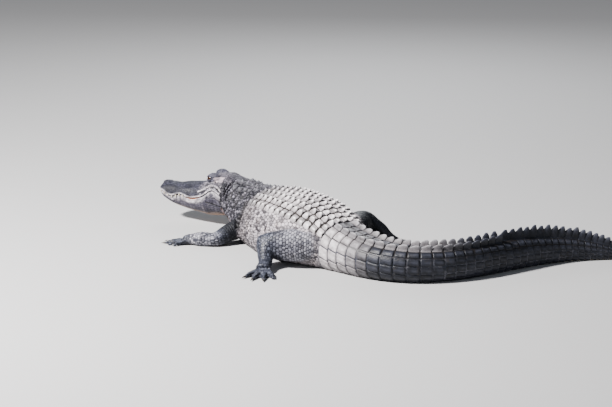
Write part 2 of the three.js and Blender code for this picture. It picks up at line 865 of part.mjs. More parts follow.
const alligator = new THREE.Group();
alligator.name = "alligator";
alligator.add(makeHead(), ...makeBody());
alligator.add(
  ...frontLeg("left", bodyPlace(SHOULDER_DISTANCE, 115, 88), at(-428, 80, 34), at(-542, 112, 28), 3.05, -1),
  ...frontLeg("right", bodyPlace(SHOULDER_DISTANCE, -115, 100), at(66, 330, 54), at(140, 414, 30), 0.75, 1),
  ...hindLeg("left", bodyPlace(HIP_DISTANCE, 132, 108), at(-152, -300, 108), at(-158, -388, 34), -1.75, -1),
  ...hindLeg("right", bodyPlace(HIP_DISTANCE, -95, 112), at(330, 6, 142), at(496, -16, 36), 0.12, 1),
);

export default alligator;
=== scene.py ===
# American alligator, life size, lying with its head turned to its left. Its lengths are in millimetres.
import math
from types import SimpleNamespace

import bmesh
import bpy
import numpy as np
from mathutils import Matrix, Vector


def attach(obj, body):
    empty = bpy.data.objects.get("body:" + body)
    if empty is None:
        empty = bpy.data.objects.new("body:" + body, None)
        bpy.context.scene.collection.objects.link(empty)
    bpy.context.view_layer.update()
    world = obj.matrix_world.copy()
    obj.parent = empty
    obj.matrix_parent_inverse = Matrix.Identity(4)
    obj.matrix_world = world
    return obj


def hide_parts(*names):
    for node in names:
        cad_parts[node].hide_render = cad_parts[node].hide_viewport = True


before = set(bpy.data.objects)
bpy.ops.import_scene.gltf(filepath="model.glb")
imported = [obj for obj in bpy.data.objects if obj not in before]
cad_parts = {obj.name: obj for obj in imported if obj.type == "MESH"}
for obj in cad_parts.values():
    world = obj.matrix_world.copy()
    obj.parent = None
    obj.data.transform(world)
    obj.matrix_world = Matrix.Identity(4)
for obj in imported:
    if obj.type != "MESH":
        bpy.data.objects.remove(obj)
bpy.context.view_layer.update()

# Driving dimensions, the same as in the part
HEAD_LENGTH = 404
SPINE_LENGTH = 2610
ORIGIN_DISTANCE = 620
SHOULDER_DISTANCE = 350
HIP_DISTANCE = 925
NECK_END = 255
TORSO_ROWS = 18
FIRST_PALE_ROW = 4
ROW_PITCH = 41
TAIL_START = NECK_END + TORSO_ROWS * ROW_PITCH
DOUBLE_WHORLS = 18
TAIL_WHORLS = 38
WHORL_PITCH = 51.5
MOUTH_HEIGHT = 166
SNOUT_DROOP = 0.04
EYE = {"u": 311, "y": 60, "z": 86, "radius": 17}
BROW = {"u": 326, "y": 51, "z": 88, "radii": (37, 25, 27)}
NOSTRIL_DISTANCE = 34
METRE = 0.001

# Steps of the fine meshes, and how many points are compared with the spine or a limb at a time
SPINE_STEP = 5.0
BODY_STEP = 8.0
RING_POINTS = 96
ANGLE_STEPS = 240
ARC_SAMPLES = 121
SKIN_VOXEL = 5.0
POINTS_AT_ONCE = 20000

# Photo in pixels, and camera in metres
IMAGE_WIDTH = 612
IMAGE_HEIGHT = 407
PIXELS_PER_METRE = 200
CAMERA_DISTANCE = 14
CAMERA_ELEVATION = math.radians(14)
ORIGIN_PIXEL = (298, 250)
SENSOR_WIDTH = 36


# Maths
def curve_through(rows):
    """A monotone cubic through the rows of a table: distance first, then the values."""
    table = np.array(rows, float)
    at, values = table[:, 0], table[:, 1:]
    gap = np.diff(at)[:, None]
    rise = np.diff(values, axis=0) / gap
    slope = np.zeros_like(values)
    slope[0], slope[-1] = rise[0], rise[-1]
    product = rise[:-1] * rise[1:]
    total = rise[:-1] + rise[1:]
    safe = np.where(abs(total) < 1e-12, 1, total)
    slope[1:-1] = np.where(product > 0, 2 * product / safe, 0)

    def value(x):
        x = np.clip(np.asarray(x, float), at[0], at[-1])
        i = np.clip(np.searchsorted(at, x, side="right") - 1, 0, len(at) - 2)
        t = (x - at[i])[..., None] / gap[i]
        return (
            values[i] * (2 * t**3 - 3 * t**2 + 1)
            + slope[i] * gap[i] * (t**3 - 2 * t**2 + t)
            + values[i + 1] * (3 * t**2 - 2 * t**3)
            + slope[i + 1] * gap[i] * (t**3 - t**2)
        )

    return value


def clamped(x):
    return np.clip(x, 0, 1)


def smoothstep(low, high, x):
    t = clamped((x - low) / (high - low))
    return t * t * (3 - 2 * t)


def fading(low, high, x):
    return 1 - smoothstep(low, high, x)


def span(x, low, high, soft):
    """One between low and high, falling to nothing over a soft edge at each end."""
    return smoothstep(low - soft, low + soft, x) * fading(high - soft, high + soft, x)


def bell(x, middle, width):
    return np.exp(-(((x - middle) / width) ** 2))


def mixed(a, b, weight):
    return a * (1 - weight) + b * weight


def signed_power(x, power):
    return np.sign(x) * abs(x) ** power


def distances_along(places):
    return np.concatenate([[0], np.cumsum(np.linalg.norm(np.diff(places, axis=0), axis=1))])


def unit(v):
    return v / np.maximum(np.linalg.norm(v, axis=-1, keepdims=True), 1e-9)


def hashed(i, j, seed):
    """A number from 0 to 1 for each pair of whole numbers."""
    n = (i.astype(np.int64) * 374761393 + j.astype(np.int64) * 668265263 + seed * 974711) & 0x7FFFFFFF
    n = ((n ^ (n >> 13)) * 1274126177) & 0x7FFFFFFF
    n = (n ^ (n >> 16)) & 0xFFFFFF
    return n / float(0xFFFFFF)


def cells(a, b, jitter, seed, stagger=0.0):
    """Scales as cells round scattered centres: distances to the centre and the edge, and a draw for each."""
    row = np.floor(a)
    nearest = second = np.full(a.shape, 9.0)
    draw = np.zeros(a.shape)
    for di in (-1, 0, 1):
        i = row + di
        shift = stagger * (i % 2)
        column = np.floor(b - shift)
        for dj in (-1, 0, 1):
            j = column + dj
            x = i + 0.5 + jitter * (hashed(i, j, seed) - 0.5)
            y = j + shift + 0.5 + jitter * (hashed(i, j, seed + 7) - 0.5)
            distance = np.hypot(a - x, b - y)
            closer = distance < nearest
            second = np.where(closer, nearest, np.minimum(second, distance))
            draw = np.where(closer, hashed(i, j, seed + 13), draw)
            nearest = np.where(closer, distance, nearest)
    return nearest, second - nearest, draw


def wander(points, size, seed):
    """Smooth noise from -1 to 1 at points, as a sum of a few waves in seeded directions."""
    rng = np.random.default_rng(seed)
    total = np.zeros(len(points))
    for _ in range(9):
        towards = unit(rng.normal(size=3))
        frequency = 2 * np.pi / (size * rng.uniform(0.7, 1.6))
        total += np.sin(points @ towards * frequency + rng.uniform(0, 6.28))
    return total / 4.5


# The body's spine and sections
heading_at = curve_through([
    (0, -24), (60, -46), (150, -62), (300, -62), (450, -57), (700, -53), (950, -53), (1080, -51),
    (1220, -40), (1370, -16), (1500, 7), (1650, 24), (1850, 33), (2050, 31), (2250, 18), (2400, 6),
    (SPINE_LENGTH, 0),
])

# Half width, top, height of the widest point, bottom, roundness above and below
section_at = curve_through([
    (0, 112, 244, 150, 56, 2.5, 2.2), (55, 124, 246, 136, 38, 2.3, 2.1), (130, 126, 246, 128, 18, 2.2, 2.2),
    (210, 138, 248, 118, 2, 2.1, 2.5), (290, 158, 258, 110, -12, 2.1, 2.7),
    (400, 198, 276, 106, -22, 2.15, 2.9), (600, 236, 290, 102, -28, 2.2, 3),
    (750, 232, 282, 98, -28, 2.2, 3), (870, 200, 258, 96, -24, 2.2, 2.9),
    (960, 164, 228, 94, -20, 2.25, 2.7), (1080, 136, 196, 88, -14, 2.35, 2.5),
    (1300, 110, 166, 78, -10, 2.5, 2.4), (1550, 88, 156, 72, -8, 2.5, 2.4),
    (1880, 62, 150, 66, -6, 2.3, 2.3), (2200, 40, 130, 56, -5, 2.1, 2.2), (2450, 22, 88, 40, -4, 2, 2),
    (SPINE_LENGTH, 6, 30, 15, -2, 2, 2),
])

shield_at = curve_through([(255, 132), (330, 160), (600, 205), (800, 196), (1000, 150)])

crest_at = curve_through([
    (990, 19, 50), (1200, 24, 48), (1500, 28, 38), (1750, 36, 24), (1900, 46, 12), (2000, 54, 0),
    (2200, 52, 0), (2400, 40, 0), (SPINE_LENGTH, 10, 0),
])


def make_spine():
    s = np.arange(-20, SPINE_LENGTH + 20, SPINE_STEP)
    heading = np.radians(heading_at(s + SPINE_STEP / 2)[:, 0])
    step = SPINE_STEP * np.stack([np.cos(heading), np.sin(heading)], 1)
    points = np.concatenate([[[0, 0]], np.cumsum(step, 0)])
    s = np.append(s, s[-1] + SPINE_STEP)
    middle = np.array([np.interp(ORIGIN_DISTANCE, s, points[:, k]) for k in (0, 1)])
    return s, points - middle


spine_s, spine_xy = make_spine()


def spine_at(s):
    """Place on the spine, and the unit vectors towards the tail and towards the animal's left."""
    s = np.asarray(s, float)
    place = np.stack([np.interp(s, spine_s, spine_xy[:, k]) for k in (0, 1)], -1)
    heading = np.radians(heading_at(s)[..., 0])
    back = np.stack([np.cos(heading), np.sin(heading)], -1)
    left = np.stack([np.sin(heading), -np.cos(heading)], -1)
    return place, back, left


def body_place(s, side, z):
    place, _, left = spine_at(s)
    plan = place + left * np.asarray(side, float)[..., None]
    return np.concatenate([plan, np.asarray(z, float)[..., None]], -1)


def section_point(s, angle):
    """Side and height on a section, for an angle from 90 degrees at the back to -90 at the belly."""
    width, top, wide, bottom, round_top, round_low = np.moveaxis(section_at(s), -1, 0)
    power = 2 / np.where(angle >= 0, round_top, round_low)
    side = width * np.maximum(np.cos(angle), 0) ** power
    rise = abs(np.sin(angle)) ** power
    z = np.where(angle >= 0, wide + (top - wide) * rise, wide - (wide - bottom) * rise)
    return side, np.maximum(z, 0)


def make_arc_table():
    """At each place on the spine: distances over the skin from the back, and angles at even steps of them."""
    s = np.arange(0, SPINE_LENGTH + 1, SPINE_STEP)
    angle = np.pi / 2 - np.linspace(0, np.pi, ANGLE_STEPS + 1)
    side, z = section_point(s[:, None], angle[None, :])
    steps = np.hypot(np.diff(side), np.diff(z))
    run = np.concatenate([np.zeros((len(s), 1)), np.cumsum(steps, 1)], 1)
    even = np.linspace(0, 1, ARC_SAMPLES)
    return s, run, np.array([np.interp(even * r[-1], r, angle) for r in run])


arc_s, arc_run, arc_angle = make_arc_table()


def half_girth(s):
    return np.interp(s, arc_s, arc_run[:, -1])


def angle_over(s, distance):
    """The section's angle at a distance over the skin from the midline of the back."""
    share = clamped(abs(distance) / half_girth(s)) * (ARC_SAMPLES - 1)
    row = np.clip(s / SPINE_STEP, 0, len(arc_s) - 1.001)
    i, j = row.astype(int), np.clip(share.astype(int), 0, ARC_SAMPLES - 2)
    t, u = row - i, share - j
    low = mixed(arc_angle[i, j], arc_angle[i, j + 1], u)
    high = mixed(arc_angle[i + 1, j], arc_angle[i + 1, j + 1], u)
    return mixed(low, high, t)


def on_body(s, distance, lift):
    """Points lifted off the body, at distances along the spine and over the back, where left is positive."""

    def base(s, d):
        side, z = section_point(s, angle_over(s, d))
        return body_place(s, np.where(d < 0, -side, side), z)

    step = 2.0
    along = base(s + step, distance) - base(s - step, distance)
    across = base(s, distance + step) - base(s, distance - step)
    return base(s, distance) + unit(np.cross(across, along)) * lift[..., None]


# Meshes
def to_object(name, vertices, faces):
    mesh = bpy.data.meshes.new(name)
    mesh.from_pydata((np.asarray(vertices) * METRE).tolist(), [], [tuple(f) for f in faces])
    mesh.validate()
    mesh.update()
    mesh.shade_smooth()
    obj = bpy.data.objects.new(name, mesh)
    bpy.context.scene.collection.objects.link(obj)
    return obj


def ring_faces(rings, points):
    """Quads between closed rings, with a fan-free cap at each end."""
    i = np.arange(rings - 1)[:, None]
    j = np.arange(points)[None, :]
    a = i * points + j
    b = i * points + (j + 1) % points
    quads = np.stack([a, b, b + points, a + points], -1).reshape(-1, 4)
    caps = [tuple(range(points))[::-1], tuple(range((rings - 1) * points, rings * points))]
    return quads.tolist() + caps


def turned_out(vertices, faces):
    """Faces turned so that a closed mesh faces outwards."""
    a, b, c, d = np.moveaxis(vertices[np.array(faces[:-2])], 1, 0)
    volume = (a * (np.cross(b, c) + np.cross(c, d))).sum()
    return [tuple(f)[::-1] for f in faces] if volume < 0 else faces


def loft(rings):
    """Vertices and faces of a closed shape through rings with the same number of points."""
    rings = np.asarray(rings)
    vertices = rings.reshape(-1, 3)
    return vertices, turned_out(vertices, ring_faces(rings.shape[0], rings.shape[1]))


def body_loft():
    s = np.arange(2, SPINE_LENGTH - 1, BODY_STEP)
    angle = np.linspace(0, 2 * np.pi, RING_POINTS, endpoint=False)
    half = np.where(angle <= np.pi, np.pi / 2 - angle, angle - 3 * np.pi / 2)
    side, z = section_point(s[:, None], half[None, :])
    return loft(body_place(s[:, None], np.where(angle <= np.pi, side, -side), z))


# Limbs
def tube(stations, points, fill=2.3, steps=6):
    """A tapered tube through stations of place, half width and half height."""
    place = np.array([one[0] for one in stations], float)
    run = distances_along(place)
    path = curve_through(np.column_stack([run, place, [one[1:] for one in stations]]))
    pieces = [np.linspace(a, b, steps, endpoint=False) for a, b in zip(run, run[1:])]
    t = np.concatenate(pieces + [run[-1:]])
    values = path(t)
    centre, wide, high = values[:, :3], values[:, 3, None, None], values[:, 4, None, None]
    tangent = unit(np.gradient(centre, t, axis=0))
    across = np.stack([-tangent[:, 1], tangent[:, 0], np.zeros(len(t))], 1)
    across[np.linalg.norm(across, axis=1) < 0.2] = (1, 0, 0)
    across = unit(across)
    up = unit(np.cross(tangent, across))
    up = np.where(up[:, 2:3] < 0, -up, up)
    angle = np.linspace(0, 2 * np.pi, points, endpoint=False)
    a = signed_power(np.cos(angle), 2 / fill)[None, :, None]
    b = signed_power(np.sin(angle), 2 / fill)[None, :, None]
    rings = centre[:, None] + across[:, None] * (a * wide) + up[:, None] * (b * high)
    rings[..., 2] = np.maximum(rings[..., 2], 0)
    return loft(rings)


def vec(x, y, z):
    return np.array([x, y, z], float)


def lerp(a, b, t):
    return a + (b - a) * t


def direction(heading):
    return vec(math.cos(heading), math.sin(heading), 0)


def digit(root, heading, length, thick):
    """One toe, level with the floor from its root to its tip."""
    along = direction(heading)
    tip_height = thick * 0.66

    def place(share, z):
        return vec(*(root + along * length * share)[:2], z)

    stations = [
        (place(-0.12, root[2]), thick * 0.9, thick * 0.8),
        (place(0.25, TOE_HEIGHT), thick, thick * 0.85),
        (place(0.6, TOE_HEIGHT * 0.86), thick * 0.9, thick * 0.78),
        (place(0.88, tip_height), thick * 0.74, thick * 0.64),
        (place(1, tip_height), thick * 0.5, thick * 0.46),
    ]
    shape = tube(stations, 14)
    return {"shape": shape, "tip": place(1, tip_height), "along": along, "root": root, "length": length}


def spread_digits(wrist, heading, kind, inner):
    """Toes fanned out from a wrist or an ankle; inner is 1 or -1, the side of the first toe."""
    made = []
    for i, length in enumerate(kind["toes"]):
        turn = math.radians(inner * TOE_SPREAD * ((len(kind["toes"]) - 1) / 2 - i))
        root = wrist + direction(heading + turn * 0.9) * kind["palm"]
        root[2] = TOE_ROOT_HEIGHT
        made.append(digit(root, heading + turn, length, kind["thick"]))
    return made


def web_pad(wrist, digits, share):
    """A flat pad from the wrist to a share of each toe's length."""
    outline = np.array([wrist] + [d["root"] + d["along"] * d["length"] * share for d in digits])
    upper = outline.copy()
    upper[:, 2] = WEB_HEIGHT
    upper[0, 2] = WEB_HEIGHT * 1.6
    lower = outline.copy()
    lower[:, 2] = 0
    n = len(outline)
    faces = [tuple(range(n)), tuple(range(2 * n - 1, n - 1, -1))]
    faces += [(j, n + j, n + (j + 1) % n, (j + 1) % n) for j in range(n)]
    return np.concatenate([upper, lower]), faces


# The two kinds of leg. Stations: the joint they start from, the way towards the next joint, half width and
# half height. Sole: distance past the wrist or ankle, and height. Toes: lengths from the inner one, distance
# of their roots, thickness, and the share of them in the web.
FRONT_LEG = {
    "stations": (
        (0, 0, 56, 60), (0, 0.5, 44, 45), (1, 0, 36, 31), (1, 0.5, 38, 35), (2, 0, 29, 24), (3, 0, 33, 18),
    ),
    "sole": (34, 20), "toes": (66, 84, 90, 78, 58), "palm": 40, "thick": 9, "web": 0.3,
}
HIND_LEG = {
    "stations": (
        (0, -0.25, 56, 60), (0, 0, 68, 76), (0, 0.45, 68, 76), (1, 0, 52, 56), (1, 0.45, 42, 44),
        (2, 0, 31, 30), (3, 0, 36, 24),
    ),
    "sole": (60, 24), "toes": (84, 104, 108, 92), "palm": 84, "thick": 12.5, "web": 0.55,
}
TOE_SPREAD = 17
TOE_ROOT_HEIGHT = 16
TOE_HEIGHT = 15
WEB_HEIGHT = 13
CLAWED_TOES = 3
CLAW_LENGTH = 2.1


def make_leg(kind, start, middle, foot, heading, inner):
    """A leg by its shoulder or hip, its elbow or knee, and its wrist or ankle."""
    past, height = kind["sole"]
    sole = foot + direction(heading) * past
    sole[2] = height
    joints = [start, middle, foot, sole, sole]
    path = [(lerp(joints[i], joints[i + 1], t), wide, high) for i, t, wide, high in kind["stations"]]
    digits = spread_digits(foot, heading, kind, inner)
    return {
        "path": path,
        "digits": digits,
        "web": web_pad(foot, digits, kind["web"]),
        "claw": kind["thick"] * CLAW_LENGTH,
        "along": direction(heading),
    }


def shoulder(side, height):
    return body_place(SHOULDER_DISTANCE, side, height)


def hip(side, height):
    return body_place(HIP_DISTANCE, side, height)


LEGS = {
    "hand_left": make_leg(FRONT_LEG, shoulder(115, 88), vec(-428, 80, 34), vec(-542, 112, 28), 3.05, -1),
    "hand_right": make_leg(FRONT_LEG, shoulder(-115, 100), vec(66, 330, 54), vec(140, 414, 30), 0.75, 1),
    "foot_left": make_leg(HIND_LEG, hip(132, 108), vec(-152, -300, 108), vec(-158, -388, 34), -1.75, -1),
    "foot_right": make_leg(HIND_LEG, hip(-95, 112), vec(330, 6, 142), vec(496, -16, 36), 0.12, 1),
}


# Stations of a claw, in shares of its length: place, rise, half width and half height
CLAW_STATIONS = (
    (-0.5, 0, 0.17, 0.17), (-0.12, 0, 0.2, 0.2), (0.1, 0.02, 0.2, 0.2), (0.35, 0.05, 0.16, 0.17),
    (0.7, 0, 0.1, 0.11), (1, -0.14, 0.015, 0.015),
)


def claw_shape(tip, along, size):
    stations = []
    for share, rise, wide, high in CLAW_STATIONS:
        place = tip + along * (0.3 + size * share) + vec(0, 0, size * rise)
        stations.append((place, size * wide, size * high))
    return tube(stations, 16, 2, 5)


# Head, in its own frame: x forward from the back of the skull, y to the left, z from the mouth's level
skull_at = curve_through([
    (0, 20, 20, 2), (6, 38, 29, 2.1), (18, 54, 38, 2.3), (40, 65, 43, 2.5), (70, 69, 43, 2.6),
    (105, 71, 41, 2.6), (160, 80, 45, 2.6), (225, 88, 51, 2.5), (255, 94, 56, 2.4), (310, 106, 72, 2.2),
    (350, 114, 78, 2.3), (HEAD_LENGTH, 116, 80, 2.5),
])

mouth_at = curve_through([
    (0, 9), (25, 7), (87, -17), (136, -4), (204, -20), (270, -6), (343, 33), (HEAD_LENGTH, -3),
])

jaw_at = curve_through([
    (6, 24, -16), (16, 42, -29), (40, 55, -44), (95, 60, -71), (165, 71, -91), (240, 84, -104),
    (315, 102, -115), (HEAD_LENGTH, 110, -110),
])


def head_matrix():
    """Rotation and place of the head's frame: the droop as a shear, then the turn, then the place."""
    place, _, _ = spine_at(0.0)
    yaw = math.radians(float(heading_at(0.0)[0]) + 180)
    c, s = math.cos(yaw), math.sin(yaw)
    turn = np.array([[c, -s, 0], [s, c, 0], [0, 0, 1]])
    shear = np.eye(3)
    shear[2, 0] = -SNOUT_DROOP
    return turn @ shear, np.array([place[0], place[1], MOUTH_HEIGHT])


HEAD_TURN, HEAD_PLACE = head_matrix()


def from_head(points):
    return np.asarray(points) @ HEAD_TURN.T + HEAD_PLACE


def to_head(points):
    return (np.asarray(points) - HEAD_PLACE) @ np.linalg.inv(HEAD_TURN).T


HALF_RING_POINTS = 41
FLAT_POINTS = 9


def head_half(u, width, high, low, fill, upper):
    """One ring of the upper head or the lower jaw, closed by points across the mouth."""
    angle = np.linspace(0, np.pi, HALF_RING_POINTS)
    y = signed_power(np.cos(angle), 2 / fill) * width
    rise = np.maximum(np.sin(angle), 0) ** (2 / fill)
    z = low + (high - low) * rise if upper else high - (high - low) * rise
    flat_y = np.linspace(-width, width, FLAT_POINTS + 2)[1:-1]
    flat_z = np.full(FLAT_POINTS, low if upper else high)
    y, z = np.concatenate([y, flat_y]), np.concatenate([z, flat_z])
    return np.stack([np.full(len(y), HEAD_LENGTH - u), y, z], 1)


def head_loft(start, ring):
    """A shape through rings at a few close places at the snout's tip and then at even steps to the neck."""
    places = np.concatenate([start, np.linspace(25, 440, 84)])
    return loft(from_head([ring(u) for u in places]))


def upper_head(u):
    width, top, fill = skull_at(u)
    return head_half(u, width, top, mouth_at(u)[0], fill, True)


def lower_jaw(u):
    width, low = jaw_at(u)
    return head_half(u, width, mouth_at(u)[0] + 0.5, low, 2.4, False)


def skull_table():
    rows = curve_through([(310, 40, 84), (330, 56, 98), (365, 63, 102), (395, 66, 100), (425, 64, 88)])
    rings = [head_half(u, *rows(u), 50, 4.5, True) for u in np.linspace(310, 425, 24)]
    return loft(from_head(rings))


def ellipsoid(centre, radii, across=32, down=20):
    """Rings of points from one end of the ellipsoid's x axis to the other."""
    angle = np.linspace(0, 2 * np.pi, across, endpoint=False)
    rings = []
    for t in np.linspace(-np.pi / 2 + 0.05, np.pi / 2 - 0.05, down):
        r = math.cos(t)
        rings.append(np.stack([np.full(across, math.sin(t)), r * np.cos(angle), r * np.sin(angle)], 1))
    return np.array(rings) * np.array(radii) + np.array(centre)


def head_shapes():
    upper = head_loft(np.linspace(0, 20, 9), upper_head)
    lower = head_loft(np.linspace(6, 20, 6), lower_jaw)
    bumps = [((HEAD_LENGTH - NOSTRIL_DISTANCE - 10, 0, 39), (32, 27, 12))]
    for side in (1, -1):
        bumps.append(((HEAD_LENGTH - BROW["u"], side * BROW["y"], BROW["z"]), BROW["radii"]))
    return [upper, lower, skull_table()] + [loft(from_head(ellipsoid(*bump))) for bump in bumps]


# The skin: one closed mesh from every fleshy shape
def joined(shapes):
    """The vertices and faces of several shapes as one."""
    vertices, faces, base = [], [], 0
    for v, f in shapes:
        vertices.append(v)
        faces += [[base + k for k in face] for face in f]
        base += len(v)
    return np.concatenate(vertices), faces


def fused(shapes):
    obj = to_object("skin", *joined(shapes))
    remesh = obj.modifiers.new("fuse", "REMESH")
    remesh.mode = "VOXEL"
    remesh.voxel_size = SKIN_VOXEL * METRE
    mesh = bpy.data.meshes.new_from_object(obj.evaluated_get(bpy.context.evaluated_depsgraph_get()))
    obj.modifiers.clear()
    obj.data = mesh
    return obj


def values_of(items, key, width, kind=float):
    """A value of every point, edge or face of a mesh, one row for each."""
    values = np.empty(len(items) * width, kind)
    items.foreach_get(key, values)
    return values.reshape(-1, width)


def mesh_points(obj):
    return values_of(obj.data.vertices, "co", 3) / METRE


def set_points(obj, points):
    obj.data.vertices.foreach_set("co", (points * METRE).ravel())
    obj.data.update()


def smoothed(obj, points, weight, rounds):
    """Moves each point towards the middle of its neighbours, by its weight."""
    pairs = values_of(obj.data.edges, "vertices", 2, int)
    count = np.bincount(pairs.ravel(), minlength=len(points)).astype(float)[:, None]
    for _ in range(rounds):
        total = np.zeros_like(points)
        for k in range(3):
            total[:, k] = np.bincount(pairs[:, 0], points[pairs[:, 1], k], len(points))
            total[:, k] += np.bincount(pairs[:, 1], points[pairs[:, 0], k], len(points))
        points = points + (total / np.maximum(count, 1) - points) * weight[:, None]
    return points


def body_coordinates(points):
    """Distance along the spine, over the back, and off the body's surface, of each point."""
    best_s = np.empty(len(points))
    for start in range(0, len(points), POINTS_AT_ONCE):
        some = slice(start, start + POINTS_AT_ONCE)
        gap = ((points[some, None, :2] - spine_xy[None, ::2, :]) ** 2).sum(-1)
        best_s[some] = spine_s[::2][gap.argmin(1)]
    for _ in range(3):
        place, back, left = spine_at(best_s)
        best_s = best_s + ((points[:, :2] - place) * back).sum(1)
    place, back, left = spine_at(best_s)
    side = ((points[:, :2] - place) * left).sum(1)
    s = np.clip(best_s, 0, SPINE_LENGTH)
    width, top, wide, bottom, round_top, round_low = section_at(s).T
    above = points[:, 2] >= wide
    power = np.where(above, round_top, round_low)
    tall = np.where(above, np.maximum(top - wide, 1), np.maximum(wide - bottom, 1))
    p = (abs(side) / width) ** (power / 2)
    q = (abs(points[:, 2] - wide) / tall) ** (power / 2)
    angle = np.where(above, 1, -1) * np.arctan2(q, np.maximum(p, 1e-6))
    radius = (p**2 + q**2) ** (1 / power)
    flat_side, flat_z = section_point(s, angle)
    off = np.hypot(abs(side) - flat_side, points[:, 2] - flat_z) * np.sign(radius - 1)
    row = np.clip(s / SPINE_STEP, 0, len(arc_s) - 1).astype(int)
    share = (np.pi / 2 - angle) / np.pi
    column = np.clip((share * ANGLE_STEPS).astype(int), 0, ANGLE_STEPS - 1)
    low, high = arc_run[row, column], arc_run[row, column + 1]
    run = low + (high - low) * (share * ANGLE_STEPS - column)
    return best_s, np.sign(side) * run, off


def refined(obj, wanted):
    """Cuts each face in four whose middle is wanted."""
    middles = values_of(obj.data.polygons, "center", 3) / METRE
    work = bmesh.new()
    work.from_mesh(obj.data)
    work.faces.ensure_lookup_table()
    edges = {edge for i in np.nonzero(wanted(middles))[0] for edge in work.faces[int(i)].edges}
    bmesh.ops.subdivide_edges(work, edges=list(edges), cuts=1, use_grid_fill=True)
    work.to_mesh(obj.data)
    work.free()


def on_scales(points):
    """The body and legs, down to the first whorl of the tail, off the floor."""
    s, _, _ = body_coordinates(points)
    return (points[:, 2] > 4) & ((s < TAIL_START + 40) | limb_zone(points))


def make_skin():
    shapes = [body_loft()] + head_shapes()
    for leg in LEGS.values():
        shapes.append(tube(leg["path"], 40))
        shapes += [d["shape"] for d in leg["digits"]]
        shapes.append(leg["web"])
    skin = fused(shapes)
    points = mesh_points(skin)
    points = smoothed(skin, points, joint_weight(points), 14)
    points[:, 2] = np.maximum(points[:, 2], 0)
    set_points(skin, points)
    refined(skin, on_scales)
    refined(skin, lambda middles: to_head(middles)[:, 0] > -6)
    points = mesh_points(skin)
    set_points(skin, smoothed(skin, points, np.full(len(points), 0.5), 2))
    sculpt(skin)
    skin.data.shade_smooth()
    return skin


def joint_weight(points):
    """How far each point is smoothed: strongly where a leg or the head meets the body, hardly on the toes."""
    weight = np.full(len(points), 0.16)
    for leg in LEGS.values():
        near = np.linalg.norm(points - leg["path"][1][0], axis=1)
        weight = np.maximum(weight, 0.75 * fading(90, 170, near))
    head = to_head(points)
    weight = np.maximum(weight, 0.7 * fading(15, 55, abs(head[:, 0])))
    weight = np.where(head[:, 0] > 70, 0.1, weight)
    _, _, from_toe = toe_coordinates(points)
    return np.where(from_toe < 30, 0.04, weight)


def limb_zone(points):
    _, _, from_toe = toe_coordinates(points)
    zone = from_toe < 40
    for leg in LEGS.values():
        for place, wide, high in leg["path"]:
            zone |= np.linalg.norm(points - place, axis=1) < 2.2 * max(wide, high)
    return zone


def toe_coordinates(points):
    """Distance along the nearest toe, round it, and from its middle line."""
    best = np.full(len(points), 1e9)
    along = np.zeros(len(points))
    around = np.zeros(len(points))
    for leg in LEGS.values():
        for d in leg["digits"]:
            ray = points - d["root"]
            t = ray @ d["along"]
            offset = ray - np.clip(t, -10, d["length"])[:, None] * d["along"]
            distance = np.linalg.norm(offset, axis=1)
            closer = distance < best
            side = np.cross(d["along"], (0, 0, 1))
            best = np.where(closer, distance, best)
            along = np.where(closer, t, along)
            around = np.where(closer, np.arctan2(offset[:, 2], offset @ side), around)
    return along, around, best


def limb_coordinates(points):
    """Distance along the nearest limb, round it, how deep inside its reach, and the limb's number."""
    best = np.full(len(points), 1e9)
    along = np.zeros(len(points))
    around = np.zeros(len(points))
    which = np.zeros(len(points), int)
    for n, leg in enumerate(LEGS.values()):
        rows = list(leg["path"])
        rows.append((rows[-1][0] + leg["along"] * 130, 60, 30))
        place = np.array([one[0] for one in rows], float)
        size = np.array([max(one[1:]) for one in rows], float)
        run = distances_along(place)
        t = np.linspace(0, run[-1], 90)
        path = curve_through(np.column_stack([run, place]))(t)
        thick = np.interp(t, run, size)
        tangent = unit(np.gradient(path, axis=0))
        side = unit(np.cross(tangent, (0, 0, 1)))
        up = np.cross(side, tangent)
        near = np.nonzero(np.linalg.norm(points - place.mean(0), axis=1) < run[-1])[0]
        for start in range(0, len(near), POINTS_AT_ONCE):
            part = near[start : start + POINTS_AT_ONCE]
            gap = np.linalg.norm(points[part, None, :] - path[None], axis=2) / thick
            k = gap.argmin(1)
            distance = gap[np.arange(len(part)), k]
            offset = points[part] - path[k]
            turn = np.arctan2((offset * up[k]).sum(1), (offset * side[k]).sum(1))
            closer = distance < best[part]
            chosen = part[closer]
            best[chosen] = distance[closer]
            along[chosen] = t[k][closer] + (offset * tangent[k]).sum(1)[closer]
            around[chosen] = turn[closer]
            which[chosen] = n
    return along, around, best, which


def knobs(a, b, jitter, seed, stagger=0.0, groove=0.22):
    """Rounded scales from 0 in the grooves to 1 at the crown, and a draw for each scale."""
    centre, edge, draw = cells(a, b, jitter, seed, stagger)
    crown = smoothstep(0.0, groove, edge) * (0.62 + 0.38 * (1 - clamped(centre / 0.6) ** 2))
    return crown, draw


def blended(colour, other, weight):
    return mixed(np.asarray(colour), np.asarray(other), weight[:, None])


def layered(tint, *layers):
    """A tint with layers of colour and weight laid over it one after another."""
    for colour, weight in layers:
        tint = blended(tint, colour, weight)
    return tint


def stroke(u, z, path, width):
    """A soft line through places on the side of the head."""
    best = np.full(len(u), 1e9)
    for (u0, z0), (u1, z1) in zip(path[:-1], path[1:]):
        length = (u1 - u0) ** 2 + (z1 - z0) ** 2
        t = clamped(((u - u0) * (u1 - u0) + (z - z0) * (z1 - z0)) / length)
        best = np.minimum(best, np.hypot(u - u0 - t * (u1 - u0), z - z0 - t * (z1 - z0)))
    return np.exp(-((best / width) ** 2))


